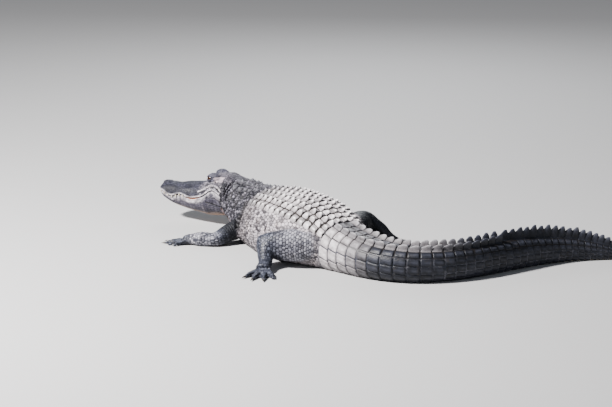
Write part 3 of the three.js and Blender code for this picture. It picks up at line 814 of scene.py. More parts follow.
# Linear colours that are painted on the skin
FLANK = (0.012, 0.011, 0.013)
FLANK_PALE = (0.33, 0.305, 0.33)
UNDER_PLATES = (0.012, 0.01, 0.009)
NECK_DARK = (0.0025, 0.003, 0.005)
NECK_PALE = (0.15, 0.143, 0.175)
BELLY_CREAM = (0.36, 0.32, 0.25)
LIMB_SLATE = (0.006, 0.007, 0.012)
LIMB_PALE = (0.07, 0.078, 0.105)
FOREARM_PALE = (0.27, 0.27, 0.31)
# Painted shade: near black for the upper arm and the far hind leg, which lie in the body's shade
PAINTED_LEG_SHADE = (0.0022, 0.0026, 0.004)
TAIL_SLATE = (0.014, 0.018, 0.028)
TAIL_BROWN = (0.009, 0.0075, 0.007)
SNOUT_SLATE = (0.006, 0.0065, 0.011)
SNOUT_PALE = (0.042, 0.043, 0.062)
CHEEK_DARK = (0.004, 0.0045, 0.007)
CHEEK_PALE = (0.18, 0.172, 0.205)
TABLE_GREY = (0.075, 0.07, 0.088)
EAR_PINK = (0.29, 0.245, 0.275)
LIP_PALE = (0.55, 0.53, 0.57)
JAW_LAVENDER = (0.03, 0.028, 0.042)
JAW_YELLOW = (0.36, 0.27, 0.17)
THROAT_PINK = (0.27, 0.165, 0.14)
MOUTH_ORANGE = (0.26, 0.1, 0.04)
GROOVE = (0.004, 0.004, 0.0045)


def sculpt(skin):
    """Raises scales, folds, lips, lids and nostrils, and paints a tint and a gloss on each point."""
    points = mesh_points(skin)
    normals = values_of(skin.data.vertex_normals, "vector", 3)
    s, d, off = body_coordinates(points)
    head = to_head(points)
    along, around, limb_gap, which = limb_coordinates(points)
    ragged = head[:, 0] + 16 * wander(points, 34, 52)
    in_head = smoothstep(8, 20, ragged) * (s < 90) * (abs(head[:, 1]) < 150)
    in_limb = smoothstep(5, 24, off) * fading(1.5, 2.1, limb_gap) * (1 - in_head)

    lift, tint, wet = body_skin(points, s, d)
    for weight, layer in (
        (in_limb, limb_skin(points, along, around, which)),
        (in_head, head_skin(head, normals)),
    ):
        lift = mixed(lift, layer[0], weight)
        tint = blended(tint, layer[1], weight)
        wet = mixed(wet, layer[2], weight)

    flat = (normals[:, 2] < -0.5) & (points[:, 2] < 12)
    lift = np.where(flat, np.minimum(lift, 0.3), lift)
    points = shape_eyes(points + normals * lift[:, None], in_head)
    points[:, 2] = np.maximum(points[:, 2], 0)
    set_points(skin, points)
    colours = np.column_stack([clamped(tint), np.ones(len(points))])
    layer = skin.data.attributes.new("tint", "FLOAT_COLOR", "POINT")
    layer.data.foreach_set("color", colours.ravel().astype(np.float32))
    add_attribute(skin, "wet", wet)


# Folds down the sides of the neck: distance along the spine and depth
NECK_FOLDS = ((16, 9), (66, 12), (112, 11), (158, 13), (204, 12), (250, 14), (296, 13), (340, 15), (384, 13))
# Where the dark folded skin of the neck gives way to the pale trunk, over the shoulders
DARK_NECK_END = 424


def neck_folds(s, d):
    """The folds of the neck: each is a dip along a wavy line, with a swelling behind it."""
    down = abs(d)
    folds = np.zeros(len(s))
    for place, depth in NECK_FOLDS:
        bend = place + 15 * np.sin(d / 62.0 + place / 40) + 0.12 * (down - 120)
        folds -= depth * bell(s, bend, 8)
        folds += 0.45 * depth * bell(s, bend + 19, 11)
    return folds * smoothstep(40, 110, down)


def body_skin(points, s, d):
    """Lift, tint and gloss of the neck, flanks, belly and tail."""
    down = abs(d)
    shield = np.where(s < NECK_END, 95, shield_at(s)[:, 0])
    round_body = down / half_girth(np.clip(s, 0, SPINE_LENGTH))
    small, small_draw = knobs(s / 12.5, d / 12.5, 0.6, 21)
    large, large_draw = knobs(s / 20.5, d / 19, 0.4, 22, 0.5)
    near_shield = fading(10, 80, down - shield)
    crown = mixed(small, large, near_shield)
    draw = mixed(small_draw, large_draw, near_shield)
    lift = small * (1 - near_shield) * 2.4 + large * near_shield * 3.4
    lift += 2.2 * wander(points, 110, 31)

    neck_end = DARK_NECK_END - 0.3 * np.clip(down - 150, 0, 200)
    past_neck = s - neck_end + 10 * wander(points, 30, 53)
    neck = fading(-26, 20, past_neck)
    knob, knob_draw = knobs(s / 13.5, d / 13.5, 0.75, 23, 0.0, 0.28)
    folds = neck_folds(s, d)
    shoulder_fold = bell(past_neck, 0, 9) * smoothstep(70, 120, down) * (round_body < 0.7)
    lift = mixed(lift, knob * (2.6 + 3.4 * knob_draw) + folds, neck) - 14 * shoulder_fold
    nape = fading(34, 64, s) * fading(52, 84, down)
    lift = lift * (1 - 0.5 * nape) + 6 * nape

    belly = smoothstep(0.80, 0.9, round_body)
    row, _ = knobs(s / 27, d / 24, 0.05, 24, 0.0, 0.12)
    lift = mixed(lift, row * 1.2, belly)
    tail = smoothstep(TAIL_START - 40, TAIL_START + 30, s)
    sunk = -1.5 + 2.9 * smoothstep(1380, 1540, s) + 1.3 * wander(points, 90, 54)
    lift = mixed(lift, sunk, tail * (1 - belly))

    pale = clamped(crown - 0.3) * (0.1 + 2.3 * draw**1.5) * (0.3 + 0.7 * smoothstep(420, 700, s))
    neck_pale = clamped(knob - 0.35) * (0.05 + 2.2 * knob_draw**3)
    throat = fading(0, 200, s) * smoothstep(0.6, 0.78, round_body)
    tint = layered(
        blended(FLANK, FLANK_PALE, clamped(pale * 1.5)),
        (blended(NECK_DARK, NECK_PALE, clamped(neck_pale)), neck),
        (UNDER_PLATES, fading(-12, 2, down - shield) * span(s, DARK_NECK_END, 1000, 12)),
        (GROOVE, fading(0.02, 0.4, crown) * 0.6 * (1 - belly) * (1 - neck)),
        (TAIL_SLATE, tail * 0.9),
        (TAIL_BROWN, tail * fading(0.28, 0.42, round_body) * 0.9),
        (BELLY_CREAM, belly * (1 - 0.4 * tail)),
        (THROAT_PINK, throat * 0.85),
        # Painted shade in the creases of the neck's folds and in the fold over the shoulders
        (GROOVE, clamped(-folds / 6) * neck * 0.97),
        (GROOVE, shoulder_fold),
        (TABLE_GREY, nape * (0.3 + 0.5 * knob)),
    )
    return lift, tint, clamped(0.25 + 0.1 * neck + 0.6 * tail)


def limb_skin(points, along, around, which):
    """Lift, tint and gloss of the legs: staggered scales, with bands across the toes."""
    radius = np.interp(along, [0, 120, 260, 420], [62, 50, 36, 26])
    pitch = np.interp(along, [0, 150, 300, 420], [14.5, 13, 10.5, 9])
    crown, draw = knobs(along / 12.5, around * radius / pitch, 0.3, 25, 0.5)
    lift = crown * np.interp(along, [0, 250, 420], [3.0, 2.5, 1.3])
    lift += 2.5 * wander(points, 80, 41)
    toe_along, toe_around, from_toe = toe_coordinates(points)
    on_toe = fading(17, 26, from_toe)
    band, band_draw = knobs(toe_along / 8.5, toe_around / 1.5, 0.12, 29, 0.0, 0.25)
    lift = mixed(lift, band * 1.3, on_toe)
    crown = mixed(crown, band, on_toe)
    draw = mixed(draw, band_draw, on_toe)

    hand_left, foot_left, foot_right = (
        which == list(LEGS).index(name) for name in ("hand_left", "foot_left", "foot_right")
    )
    upper_arm = hand_left * fading(120, 190, along)
    forearm = hand_left * span(along, 190, 330, 30)
    thigh = foot_left * fading(150, 260, along)
    tint = layered(
        blended(LIMB_SLATE, LIMB_PALE, clamped(clamped(crown - 0.35) * (0.3 + 1.7 * draw**2))),
        # Painted shade over the upper arm
        (PAINTED_LEG_SHADE, upper_arm * 0.9),
        (FOREARM_PALE, forearm * clamped(crown - 0.35) * (0.1 + 1.9 * draw**2)),
        (FOREARM_PALE, thigh * clamped(crown - 0.4) * (0.3 + 1.4 * draw)),
        # Painted shade over the whole far hind leg
        (PAINTED_LEG_SHADE, foot_right * 0.95),
        (GROOVE, fading(0.02, 0.35, crown) * 0.6),
    )
    return lift, tint, 0.7 - 0.5 * upper_arm


# Folds and ridges on the side of the head, as places of distance from the snout's tip and height
LIP_FOLD = [(250, 12), (292, 30), (325, 50), (350, 52), (375, 42), (396, 18)]
CHEEK_FOLD = [(285, 46), (325, 64), (352, 66), (382, 52), (404, 30)]
CORNER_FOLD = [(296, -12), (325, -6), (352, -8), (380, -20), (398, -34)]
JOWL_FOLD = [(300, -32), (340, -40), (375, -50), (400, -52)]
EYE_CREST = [(296, 92), (284, 82), (268, 66), (248, 56)]
EAR_SLIT = [(342, 72), (356, 65), (378, 61), (396, 63)]
TABLE_EDGE = [(334, 99), (350, 99), (380, 99), (400, 98)]
# Swellings of the upper lip over the big teeth: distance from the snout's tip and size
LIP_SWELLINGS = ((60, 0.8), (112, 1.6), (176, 1.0), (206, 1.4))


def head_marks(head, normals):
    """Where the mouth, folds, crest, ear and nostrils are: a weight for each on every point of the head."""
    x, y, z = head.T
    u, off = HEAD_LENGTH - x, abs(y)
    over = z - mouth_at(u)[:, 0]
    facing = normals @ np.linalg.inv(HEAD_TURN).T
    side = smoothstep(0.3, 0.75, np.hypot(facing[:, 1], facing[:, 0] * (u < 60)))
    outer = side * smoothstep(30, 45, off)
    beside = smoothstep(44, 54, off)
    reach = fading(388, 402, u)
    nostril = np.hypot((u - NOSTRIL_DISTANCE) / 10, (off - 12.5 - 0.3 * (u - NOSTRIL_DISTANCE)) / 4.2)
    return SimpleNamespace(
        u=u, y=y, z=z, off=off, over=over, side=side, outer=outer, reach=reach, nostril=nostril,
        down=-facing[:, 2],
        top=smoothstep(0.5, 0.85, facing[:, 2]),
        lower=(over < 0) * 1.0,
        back=smoothstep(225, 300, u),
        lips=np.exp(-((over / 14) ** 4)) * side,
        line=bell(over, 0, 2.5 + 2.6 * span(u, 182, 240, 14)) * side * reach,
        lip_fold=stroke(u, z, LIP_FOLD, 2.4) * outer,
        cheek_fold=stroke(u, z, CHEEK_FOLD, 2.6) * outer,
        corner_fold=stroke(u, z, CORNER_FOLD, 2.6) * outer,
        jowl_fold=stroke(u, z, JOWL_FOLD, 3.6) * outer,
        crest=stroke(u, z, EYE_CREST, 3.0) * smoothstep(40, 52, off),
        slit=stroke(u, z, EAR_SLIT, 2.3) * beside * side,
        flap=span(z, 66, 96, 4) * span(u, 340, 400, 8) * beside * side,
        edge=stroke(u, z, TABLE_EDGE, 2.0) * beside,
        hole=fading(0.6, 1.1, nostril) * (z > 34),
    )


def head_relief(m, head):
    """Lift of the head without its scales."""
    u, over = m.u, m.over
    lift = -7.5 * m.line - 2.6 * m.lip_fold - 2.4 * m.cheek_fold - 2.8 * m.corner_fold - 4.0 * m.jowl_fold
    lift += 3.2 * m.crest - 7.0 * m.slit + 2.6 * m.flap + 1.5 * m.edge
    lift += 2.2 * bell(over, 7, 4.5) * m.side * m.reach
    lift += 2.0 * bell(over, -8, 5) * m.side * m.reach
    for place, size in LIP_SWELLINGS:
        lift += size * bell(u, place, 13) * bell(over, 11, 12) * m.side
    lift += 1.4 * bell(over, -22, 6) * m.side * span(u, 60, 280, 30)
    lift += 2.4 * bell(m.off, 21 + 0.16 * (u - 60), 7) * span(u, 100, 260, 30) * m.top
    lift -= 2.2 * bell(m.y, 0, 12) * span(u, 180, 285, 30) * m.top
    lift += 1.3 * wander(head, 46, 33) * m.top * fading(280, 320, u)
    lift -= 3.5 * bell(m.off, 26, 11) * span(u, 366, 392, 9) * m.top
    lift -= 9 * m.hole
    lift += 1.8 * bell(m.nostril, 1.6, 0.4) * (m.z > 34)
    return lift


def head_skin(head, normals):
    """Lift, tint and gloss of the head, from its own frame."""
    m = head_marks(head, normals)
    around = np.where(m.top > 0.5, m.y, 400 + m.z)
    m.fine, m.fine_draw = knobs(m.u / 7.5, around / 7.5, 0.9, 26, 0.0, 0.35)
    m.cheek, m.cheek_draw = knobs(m.u / 14.5, around / 13, 0.7, 27, 0.0, 0.24)
    m.labial, m.labial_draw = knobs(m.u / 12.0, m.over / 15.0, 0.12, 28, 0.0, 0.14)
    m.jaw_row, m.jaw_draw = knobs(m.u / 19.0, m.over / 12.0, 0.3, 30, 0.5, 0.14)
    upper_scales = mixed(m.fine * 0.9, m.cheek * 2.4, m.back)
    lower_scales = m.jaw_row * (0.8 + 1.2 * m.back)
    scales = mixed(mixed(upper_scales, lower_scales, m.lower), m.labial * 0.9, m.lips)
    lift = head_relief(m, head) + scales * (1 - m.hole) * (1 - 0.8 * m.flap)
    tint = jaw_tint(m, upper_tint(m))
    return lift, line_tint(m, tint), clamped(0.4 - 0.2 * m.back)


def upper_tint(m):
    """Colours of the snout, the cheeks, the skull table and the ear flap."""
    u, z = m.u, m.z
    brow = np.sqrt(
        ((u - BROW["u"]) / 42) ** 2 + ((m.off - BROW["y"]) / 30) ** 2 + ((z - BROW["z"]) / 34) ** 2
    )
    cheeks = blended(CHEEK_DARK, CHEEK_PALE, clamped((m.cheek - 0.3) * (0.1 + 2.2 * m.cheek_draw**2)))
    return layered(
        blended(SNOUT_SLATE, SNOUT_PALE, clamped(m.fine * (0.2 + 1.3 * m.fine_draw**2))),
        (cheeks, m.back),
        (TABLE_GREY, smoothstep(318, 345, u) * m.top * (0.5 + 0.5 * m.cheek_draw)),
        (SNOUT_PALE, fading(0.9, 1.15, brow) * (0.7 + 0.3 * m.cheek_draw)),
        (SNOUT_SLATE, smoothstep(9, 16, m.over) * m.side * fading(190, 230, u) * 0.6),
        (EAR_PINK, m.flap * (0.35 + 0.6 * smoothstep(0.1, 0.6, m.fine))),
    )


def jaw_tint(m, tint):
    """Colours of the lower jaw, from its pale lip down to the yellow chin."""
    u, over, lower = m.u, m.over, m.lower
    jaw = blended(JAW_LAVENDER, CHEEK_PALE, clamped((m.jaw_row - 0.4) * m.jaw_draw) * 0.6)
    depth = np.clip(-over / np.maximum(mouth_at(u)[:, 0] - jaw_at(u)[:, 1], 1), 0, 1.2)
    chin = smoothstep(0.74, 1.0, depth) * lower
    front = fading(110, 190, u) * lower * span(depth, 0, 0.42, 0.12)
    band = bell(over, -17, 9) * span(u, 165, 285, 22) * lower
    return layered(
        tint,
        (jaw, lower),
        (GROOVE, lower * fading(0.02, 0.4, m.jaw_row) * 0.45 * (1 - m.lips)),
        (JAW_YELLOW, chin * 0.8),
        (THROAT_PINK, chin * smoothstep(0.4, 0.9, m.down) * 0.7),
        (LIP_PALE, front * (0.1 + 0.6 * m.labial_draw**2)),
        (LIP_PALE, band * (0.2 + 0.5 * m.jaw_draw)),
    )


def line_tint(m, tint):
    """The pale lips and ridges, the grooves, and the line of the mouth; painted shade in the folds, the ear
    slit and the nostrils, a painted shadow under the eye's crest, and painted shade in the mouth's seam
    outside its orange stretch.
    """
    u, z, over = m.u, m.z, m.over
    pale = bell(over, 6, 4.5) + 0.9 * bell(over, -9, 6)
    pale += 0.6 * bell(over, -18, 12) * span(u, 320, 392, 14) * m.jaw_draw
    ridges = stroke(u, z - 7, LIP_FOLD, 3.2) + 0.6 * stroke(u, z - 7, CHEEK_FOLD, 3.2)
    dark = 0.75 * (m.lip_fold + m.cheek_fold + m.corner_fold) + m.jowl_fold + 1.4 * m.slit + m.hole
    between = fading(0.02, 0.45, m.cheek) * m.back * (1 - m.lips) * (1 - m.lower) * (1 - m.flap)
    orange = span(u, 176, 262, 16)
    return layered(
        tint,
        (LIP_PALE, clamped(pale * m.side * m.reach * (0.3 + 0.8 * m.labial_draw)) * 0.9),
        (LIP_PALE, clamped(ridges * m.outer) * (0.3 + 0.35 * m.cheek)),
        (LIP_PALE, clamped(m.crest * 1.2)),
        # Painted shadow under the crest in front of the eye
        (GROOVE, clamped(stroke(u + 8, z + 5, EYE_CREST, 4)) * m.outer * 0.8),
        # Painted shade in the folds, the ear slit and the nostrils, and darker along the skull table's edge
        (GROOVE, clamped(dark + 0.5 * m.edge)),
        (GROOVE, between * 0.7),
        (MOUTH_ORANGE, clamped(m.line * 1.4) * orange),
        # Painted shade in the seam of the mouth, away from its orange stretch
        (GROOVE, clamped(m.line * 1.5) * (1 - orange)),
    )


def eye_frame(side):
    """The eye's middle and its outward, forward and upward directions in the head's frame."""
    centre = vec(HEAD_LENGTH - EYE["u"], side * EYE["y"], EYE["z"])
    out = unit(vec(0.32, side * 0.86, 0.3))
    forward = unit(vec(1, 0, 0) - out * out[0])
    up = np.cross(forward, out) if side > 0 else np.cross(out, forward)
    if up[2] < 0:
        up = -up
    return centre, out, forward, up


def shape_eyes(points, in_head):
    """Opens an almond over each eyeball and raises the lids round it."""
    head = to_head(points)
    radius = EYE["radius"]
    for side in (1, -1):
        centre, out, forward, up = eye_frame(side)
        ray = head - centre
        reach = np.linalg.norm(ray, axis=1)
        p, q = ray @ forward, ray @ up - 0.5
        almond = np.sqrt((p / 14) ** 2 + (q / np.where(q > 0, 6.2, 7.2)) ** 2)
        facing = smoothstep(0.0, 0.25, (ray @ out) / np.maximum(reach, 1))
        near = fading(30, 44, reach) * facing * (in_head > 0.5)
        rim = radius + 2.8 + 3.2 * smoothstep(1, 9, q)
        rim -= 1.5 * bell(almond, 1.6, 0.13) + 1.0 * bell(almond, 2.1, 0.13)
        opened = radius - 7 + (rim - radius + 7) * smoothstep(0.9, 1.02, almond)
        target = mixed(opened, np.maximum(reach, rim), smoothstep(1.5, 2.7, almond))
        wanted = reach + (target - reach) * near
        head = centre + ray * (wanted / np.maximum(reach, 1e-6))[:, None]
    return from_head(head)


# Plates of the back and tail: how deep their edges sink, and the share of the tail's side that plates cover
PLATE_SINK = 5.0
CREST_SINK = 6.0
TAIL_PLATE_REACH = 0.86


def plate_border(u, v):
    """Two weights: one inside a plate's rounded outline, and one outside it."""
    corner = 1 - (abs(u) ** 6 + abs(v) ** 6) ** (1 / 6)
    return smoothstep(0.0, 0.1, corner), fading(-0.01, 0.05, corner)


def plate_grid(s0, s1, d0, d1, steps, height, rim=3.0, margin=(0.93, 0.95), tilt=0.0):
    """A raised plate as a sheet whose border dips under the skin. height maps u, v in -1..1 to a rise."""
    places = (signed_power(np.linspace(-1, 1, count), 0.85) for count in steps)
    u, v = np.meshgrid(*places, indexing="ij")
    inside, outside = plate_border(u, v)
    rise, keel, keel_shadow = height(u, v)
    lift = inside * (rim + tilt * (u + 1) / 2 + rise) - PLATE_SINK * outside
    s = (s0 + s1) / 2 + (s1 - s0) / 2 * u * margin[0]
    d = (d0 + d1) / 2 + (d1 - d0) / 2 * v * margin[1]
    points = on_body(s, d, lift)
    # A weight that is one on the plate and falls at its seams, lowered further by the painted shadow behind
    # the keel
    seams_and_shadow = np.maximum(inside, 0.6 * smoothstep(0.0, 0.1, 1 - abs(u)))
    return points, seams_and_shadow * (1 - keel_shadow), keel


def grid_faces(rows, columns, base):
    i = np.arange(rows - 1)[:, None]
    j = np.arange(columns - 1)[None, :]
    a = base + i * columns + j
    return np.stack([a, a + 1, a + columns + 1, a + columns], -1).reshape(-1, 4)


class Plates:
    """Collects plates into one mesh. Each point has a weight that falls at the plate's seams and in the
    painted shadow behind a keel, a keel weight, and its plate's tone and shade.
    """

    def __init__(self):
        self.points, self.faces, self.count = [], [], 0
        self.values = {"seams_and_shadow": [], "keel": [], "tone": [], "shade": []}

    def add(self, points, *values):
        rows, columns = points.shape[:2]
        points[..., 2] = np.maximum(points[..., 2], 0)
        self.points.append(points.reshape(-1, 3))
        self.faces.append(grid_faces(rows, columns, self.count))
        for kept, value in zip(self.values.values(), values):
            kept.append(np.broadcast_to(value, (rows, columns)).ravel())
        self.count += rows * columns

    def build(self, name, material):
        obj = to_object(name, np.concatenate(self.points), np.concatenate(self.faces).tolist())
        for key, value in self.values.items():
            add_attribute(obj, key, np.concatenate(value))
        obj.data.materials.append(material)
        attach(obj, "root")


def add_attribute(obj, name, values):
    made = obj.data.attributes.get(name) or obj.data.attributes.new(name, "FLOAT", "POINT")
    made.data.foreach_set("value", np.asarray(values, np.float32))


def keel_height(s, column):
    """Height of a dorsal keel: highest along the midline, and in the second row over the hips."""
    inner = 13 + 6 * math.sin(math.pi * (s - NECK_END) / (TAIL_START - NECK_END))
    on_trunk = inner * (1, 0.95, 0.85, 0.75)[column]
    on_hips = 22 * (0.45, 1, 0.65, 0.3)[column]
    return mixed(on_trunk, on_hips, smoothstep(720, 960, s))


def keeled(keel, sharp, peak, lean, pits, seed, shadow=0.0):
    """A low crown with a keel along it that ends in a peak near the back edge, and a painted shadow behind
    the peak.
    """

    def height(u, v):
        v = v - lean * (0.4 + 0.6 * u)
        ridge = np.exp(-((abs(v) / sharp) ** 1.25))
        rise = smoothstep(-1.0, peak, u) ** 1.2 * (1 - 0.9 * smoothstep(peak + 0.05, peak + 0.4, u))
        crown = (1 - v**2) * (1 - 0.35 * u**2) * 0.16
        pit = np.sin(u * 9 + seed) * np.sin(v * 8 + 2 * seed) * (1 - ridge) * 0.7 * pits
        # Painted shadow: darker behind the keel's peak, where the keel casts its shadow
        keel_shadow = shadow * bell(v, 0, 2.2 * sharp) * smoothstep(peak + 0.12, peak + 0.34, u)
        return keel * (ridge * rise * 0.84 + crown) + pit, clamped(ridge * (0.25 + rise)), keel_shadow

    return height


def dorsal_plates(material):
    rng = np.random.default_rng(5)
    plates = Plates()
    for row in range(FIRST_PALE_ROW, TORSO_ROWS):
        s0 = NECK_END + row * ROW_PITCH
        s1 = s0 + ROW_PITCH
        middle = (s0 + s1) / 2
        pitch = shield_at(middle)[0] / 4
        hips = smoothstep(640, 900, middle)
        margin = (0.95 - 0.05 * hips, 0.985 - 0.035 * hips)
        for column in range(4):
            for side in (1, -1):
                d0 = side * (column * pitch + rng.uniform(-2, 2) * (column > 0))
                d1 = side * ((column + 1) * pitch + rng.uniform(-2, 2))
                keel = keel_height(middle, column) * rng.uniform(0.8, 1.15)
                slip = rng.uniform(-2, 2)
                shape = keeled(keel, 0.22, 0.5, rng.uniform(-0.1, 0.1), 1.0, rng.uniform(0, 6), 0.75)
                low, high = min(d0, d1), max(d0, d1)
                plate = plate_grid(s0 + slip, s1 + slip, low, high, (19, 21), shape, margin=margin, tilt=3.0)
                shade = 0.75 * fading(430, 590, middle) * rng.uniform(0.5, 1) + 0.1 * rng.uniform(0, 1)
                plates.add(*plate, rng.uniform(0, 1), shade)
    plates.build("dorsal_scutes", material)


def make_whorls():
    """Where each ring of plates on the tail starts and ends."""
    starts = [TAIL_START]
    for i in range(TAIL_WHORLS):
        share = i / (TAIL_WHORLS - 1)
        starts.append(starts[-1] + WHORL_PITCH * (1 - 0.55 * share * share))
    return [(a, min(b, SPINE_LENGTH - 4)) for a, b in zip(starts, starts[1:])]


WHORLS = make_whorls()


def tail_shade(s):
    """How dark the tail is: pale by the hips, slate farther back."""
    return smoothstep(1020, 1290, s)


def crest_foot(s):
    """Half the width of a crest blade's foot."""
    return min(17.0, 0.16 * half_girth(s))


def tail_plates(material):
    """Plates on the sides of the tail, and a pair on top between the two rows of the crest."""
    rng = np.random.default_rng(6)
    plates = Plates()
    for i, (s0, s1) in enumerate(WHORLS):
        middle = (s0 + s1) / 2
        girth = half_girth(middle)
        _, offset = crest_at(middle)
        top = max(offset + crest_foot(middle), 10)
        tall = girth * TAIL_PLATE_REACH - top
        count = 5 if i < DOUBLE_WHORLS else 4
        spans = [(top + tall * k / count, top + tall * (k + 1) / count) for k in range(count)]
        keels = [3.5] + [1.0] * (count - 1)
        if i < DOUBLE_WHORLS and offset > 16:
            spans.append((0, offset - 10))
            keels.append(2)
        for side in (1, -1):
            for (d0, d1), keel in zip(spans, keels):
                low, high = (d0, d1) if side > 0 else (-d1, -d0)
                shape = keeled(keel, 0.3, 0.5, 0.0, 0.6, rng.uniform(0, 6))
                points, inside, ridge = plate_grid(
                    s0, s1, low, high, (13, 11), shape, rim=1.8, margin=(0.985, 0.975), tilt=1.2
                )
                shade = max(tail_shade(middle), 0.9 if d0 == 0 else 0)
                plates.add(points, inside, ridge * 0.4, rng.uniform(0, 1), shade)
    plates.build("tail_plates", material)


def crest_blade(s0, s1, offset, height, lean, blunt, stretch):
    """A crest scute: steep in front, rounded on top, cut off behind, on a broad foot."""
    u, v = np.meshgrid(np.linspace(-1, 1, 21), np.linspace(-1, 1, 17), indexing="ij")
    rise = 0.62 * smoothstep(-1.0, -0.8, u) + 0.38 * smoothstep(-0.9, 0.4 - 0.3 * blunt, u)
    rise *= (1 - 0.25 * smoothstep(0.55, 0.92, u)) * (1 - 0.9 * smoothstep(0.92, 1.0, u))
    blade = np.exp(-((abs(v) / (0.26 + 0.14 * blunt)) ** 2.4))
    inside, outside = plate_border(u, v)
    lift = inside * (2.4 + height * blade * rise) - CREST_SINK * outside
    width = crest_foot((s0 + s1) / 2) * 1.1
    sway = 0.1 * (s1 - s0) * blade * rise
    s = (s0 + s1) / 2 + (s1 - s0) / 2 * u * stretch + sway
    d = offset + width * v * (1 - (0.6 - 0.2 * blunt) * blade * rise)
    points = on_body(s, d, lift)
    _, _, left = spine_at(s)
    points[..., :2] += left * (lean * lift * blade * rise)[..., None]
    return points, inside, clamped(blade * rise) ** 3


def tail_crest(material):
    """Two rows of blades down to the middle of the tail, and one taller row from there on."""
    rng = np.random.default_rng(8)
    plates = Plates()
    for i, (s0, s1) in enumerate(WHORLS):
        height, offset = crest_at(s0 + 0.8 * (s1 - s0))
        blunt = 1 - smoothstep(DOUBLE_WHORLS - 3, DOUBLE_WHORLS + 3, i) * 0.4
        double = i < DOUBLE_WHORLS
        shade = 0.68 + 0.32 * tail_shade((s0 + s1) / 2 - 440)
        for side in (1, -1) if double else (0,):
            vary = rng.uniform(0.88, 1.08)
            lean = 0.1 * side if double else rng.uniform(-0.05, 0.05)
            rise = height * vary * (1.0 if double else 1.06)
            blade = crest_blade(s0, s1, side * offset, rise, lean, blunt, 0.98 if double else 1.16)
            plates.add(*blade, rng.uniform(0, 1), shade)
    plates.build("tail_crest", material)


# Nuchal plates: place on the neck, distance from the midline, length, width, height
NUCHAL_PLATES = [
    (78, 24, 26, 28, 7), (84, 64, 24, 26, 6), (112, 28, 48, 46, 15), (120, 78, 42, 40, 12),
    (172, 28, 50, 46, 16), (178, 80, 42, 38, 12), (226, 26, 40, 40, 13), (230, 72, 34, 34, 9),
    (276, 30, 34, 38, 9), (282, 76, 30, 32, 7), (320, 24, 34, 36, 10), (326, 68, 30, 34, 8),
    (330, 108, 24, 28, 5), (360, 28, 30, 38, 10), (364, 74, 28, 34, 8),
]


def nuchal_plates(material):
    rng = np.random.default_rng(9)
    plates = Plates()
    for s, across, length, width, height in NUCHAL_PLATES:
        for side in (1, -1):
            d = side * across + rng.uniform(-3, 3)
            shape = keeled(height * rng.uniform(0.85, 1.1), 0.34, 0.25, 0.0, 0.8, rng.uniform(0, 6))
            low, high = d - width / 2, d + width / 2
            plate = plate_grid(s - length / 2, s + length / 2, low, high, (19, 19), shape, rim=4.5)
            plates.add(*plate, rng.uniform(0, 1), 0.92)
    plates.build("nuchal_scutes", material)


# Materials
class Shading:
    """A new material, with methods that add nodes to it. A colour is a tuple and a grey is a number."""

    def __init__(self, name):
        self.material = bpy.data.materials.new(name)
        self.material.use_nodes = True
        self.tree = self.material.node_tree

    def feed(self, socket, value):
        """Links a socket to another node's output, or gives it a value."""
        if isinstance(value, bpy.types.NodeSocket):
            self.tree.links.new(value, socket)
        else:
            socket.default_value = (*value, 1) if isinstance(value, tuple) else value

    def node(self, kind, inputs=(), **settings):
        made = self.tree.nodes.new("ShaderNode" + kind)
        for key, value in settings.items():
            setattr(made, key, value)
        for key, value in dict(inputs).items():
            self.feed(made.inputs[key], value)
        return made

    def ramp(self, source, *stops):
        made = self.node("ValToRGB", {0: source})
        elements = made.color_ramp.elements
        while len(elements) > 1:
            elements.remove(elements[-1])
        elements[0].position = stops[0][0]
        for k, (position, colour) in enumerate(stops):
            element = elements[0] if k == 0 else elements.new(position)
            element.color = (*colour, 1) if isinstance(colour, tuple) else (colour, colour, colour, 1)
        return made.outputs[0]

    def noise(self, scale, detail=6.0, roughness=0.6):
        place = self.node("TexCoord").outputs["Object"]
        inputs = {"Vector": place, "Scale": scale, "Detail": detail, "Roughness": roughness}
        return self.node("TexNoise", inputs).outputs[0]

    def attribute(self, name, output="Fac"):
        return self.node("Attribute", attribute_name=name).outputs[output]

    def mix(self, share, a, b, mode="MIX"):
        return self.node("Mix", {0: share, 6: a, 7: b}, data_type="RGBA", blend_type=mode).outputs[2]

    def times(self, a, b, share=1.0):
        return self.mix(share, a, b, "MULTIPLY")

    def bump(self, height, strength, distance, **inputs):
        inputs.update({"Height": height, "Strength": strength, "Distance": distance})
        return self.node("Bump", inputs).outputs[0]

    def finished(self, **inputs):
        """Feeds the shader, with a lower line for a space in an input's name, and returns the material."""
        for name, value in inputs.items():
            socket = self.tree.nodes["Principled BSDF"].inputs[name.replace("_", " ")]
            self.feed(socket, value)
        return self.material


def tinted(m):
    """The painted tint, broken up by noise at several sizes, with pale scuffs and dark grime."""
    colour = m.attribute("tint", "Color")
    broad = m.ramp(m.noise(7), (0.3, (0.7, 0.7, 0.72)), (0.72, (1.3, 1.26, 1.22)))
    colour = m.times(colour, broad)
    fine = m.ramp(m.noise(90, 4), (0.3, 0.65), (0.7, 1.35))
    colour = m.times(colour, fine, 0.85)
    scuff = m.ramp(m.noise(26, 8, 0.7), (0.52, 1), (0.68, (1.7, 1.62, 1.5)))
    colour = m.times(colour, scuff)
    soot = m.ramp(m.noise(15, 8, 0.75), (0.5, 1), (0.7, (0.5, 0.49, 0.48)))
    return m.times(colour, soot)


def skin_material():
    m = Shading("alligator_skin")
    colour = tinted(m)
    dry = m.ramp(m.noise(14), (0.35, 0.5), (0.7, 0.72))
    damp = m.ramp(m.noise(18), (0.35, 0.24), (0.7, 0.46))
    gloss = m.mix(m.attribute("wet"), dry, damp)
    grain = m.bump(m.noise(420, 4), 0.35, 0.0007)
    grain = m.bump(m.noise(130, 5), 0.5, 0.0014, Normal=grain)
    return m.finished(Base_Color=colour, Roughness=gloss, Specular_IOR_Level=0.16, Normal=grain)


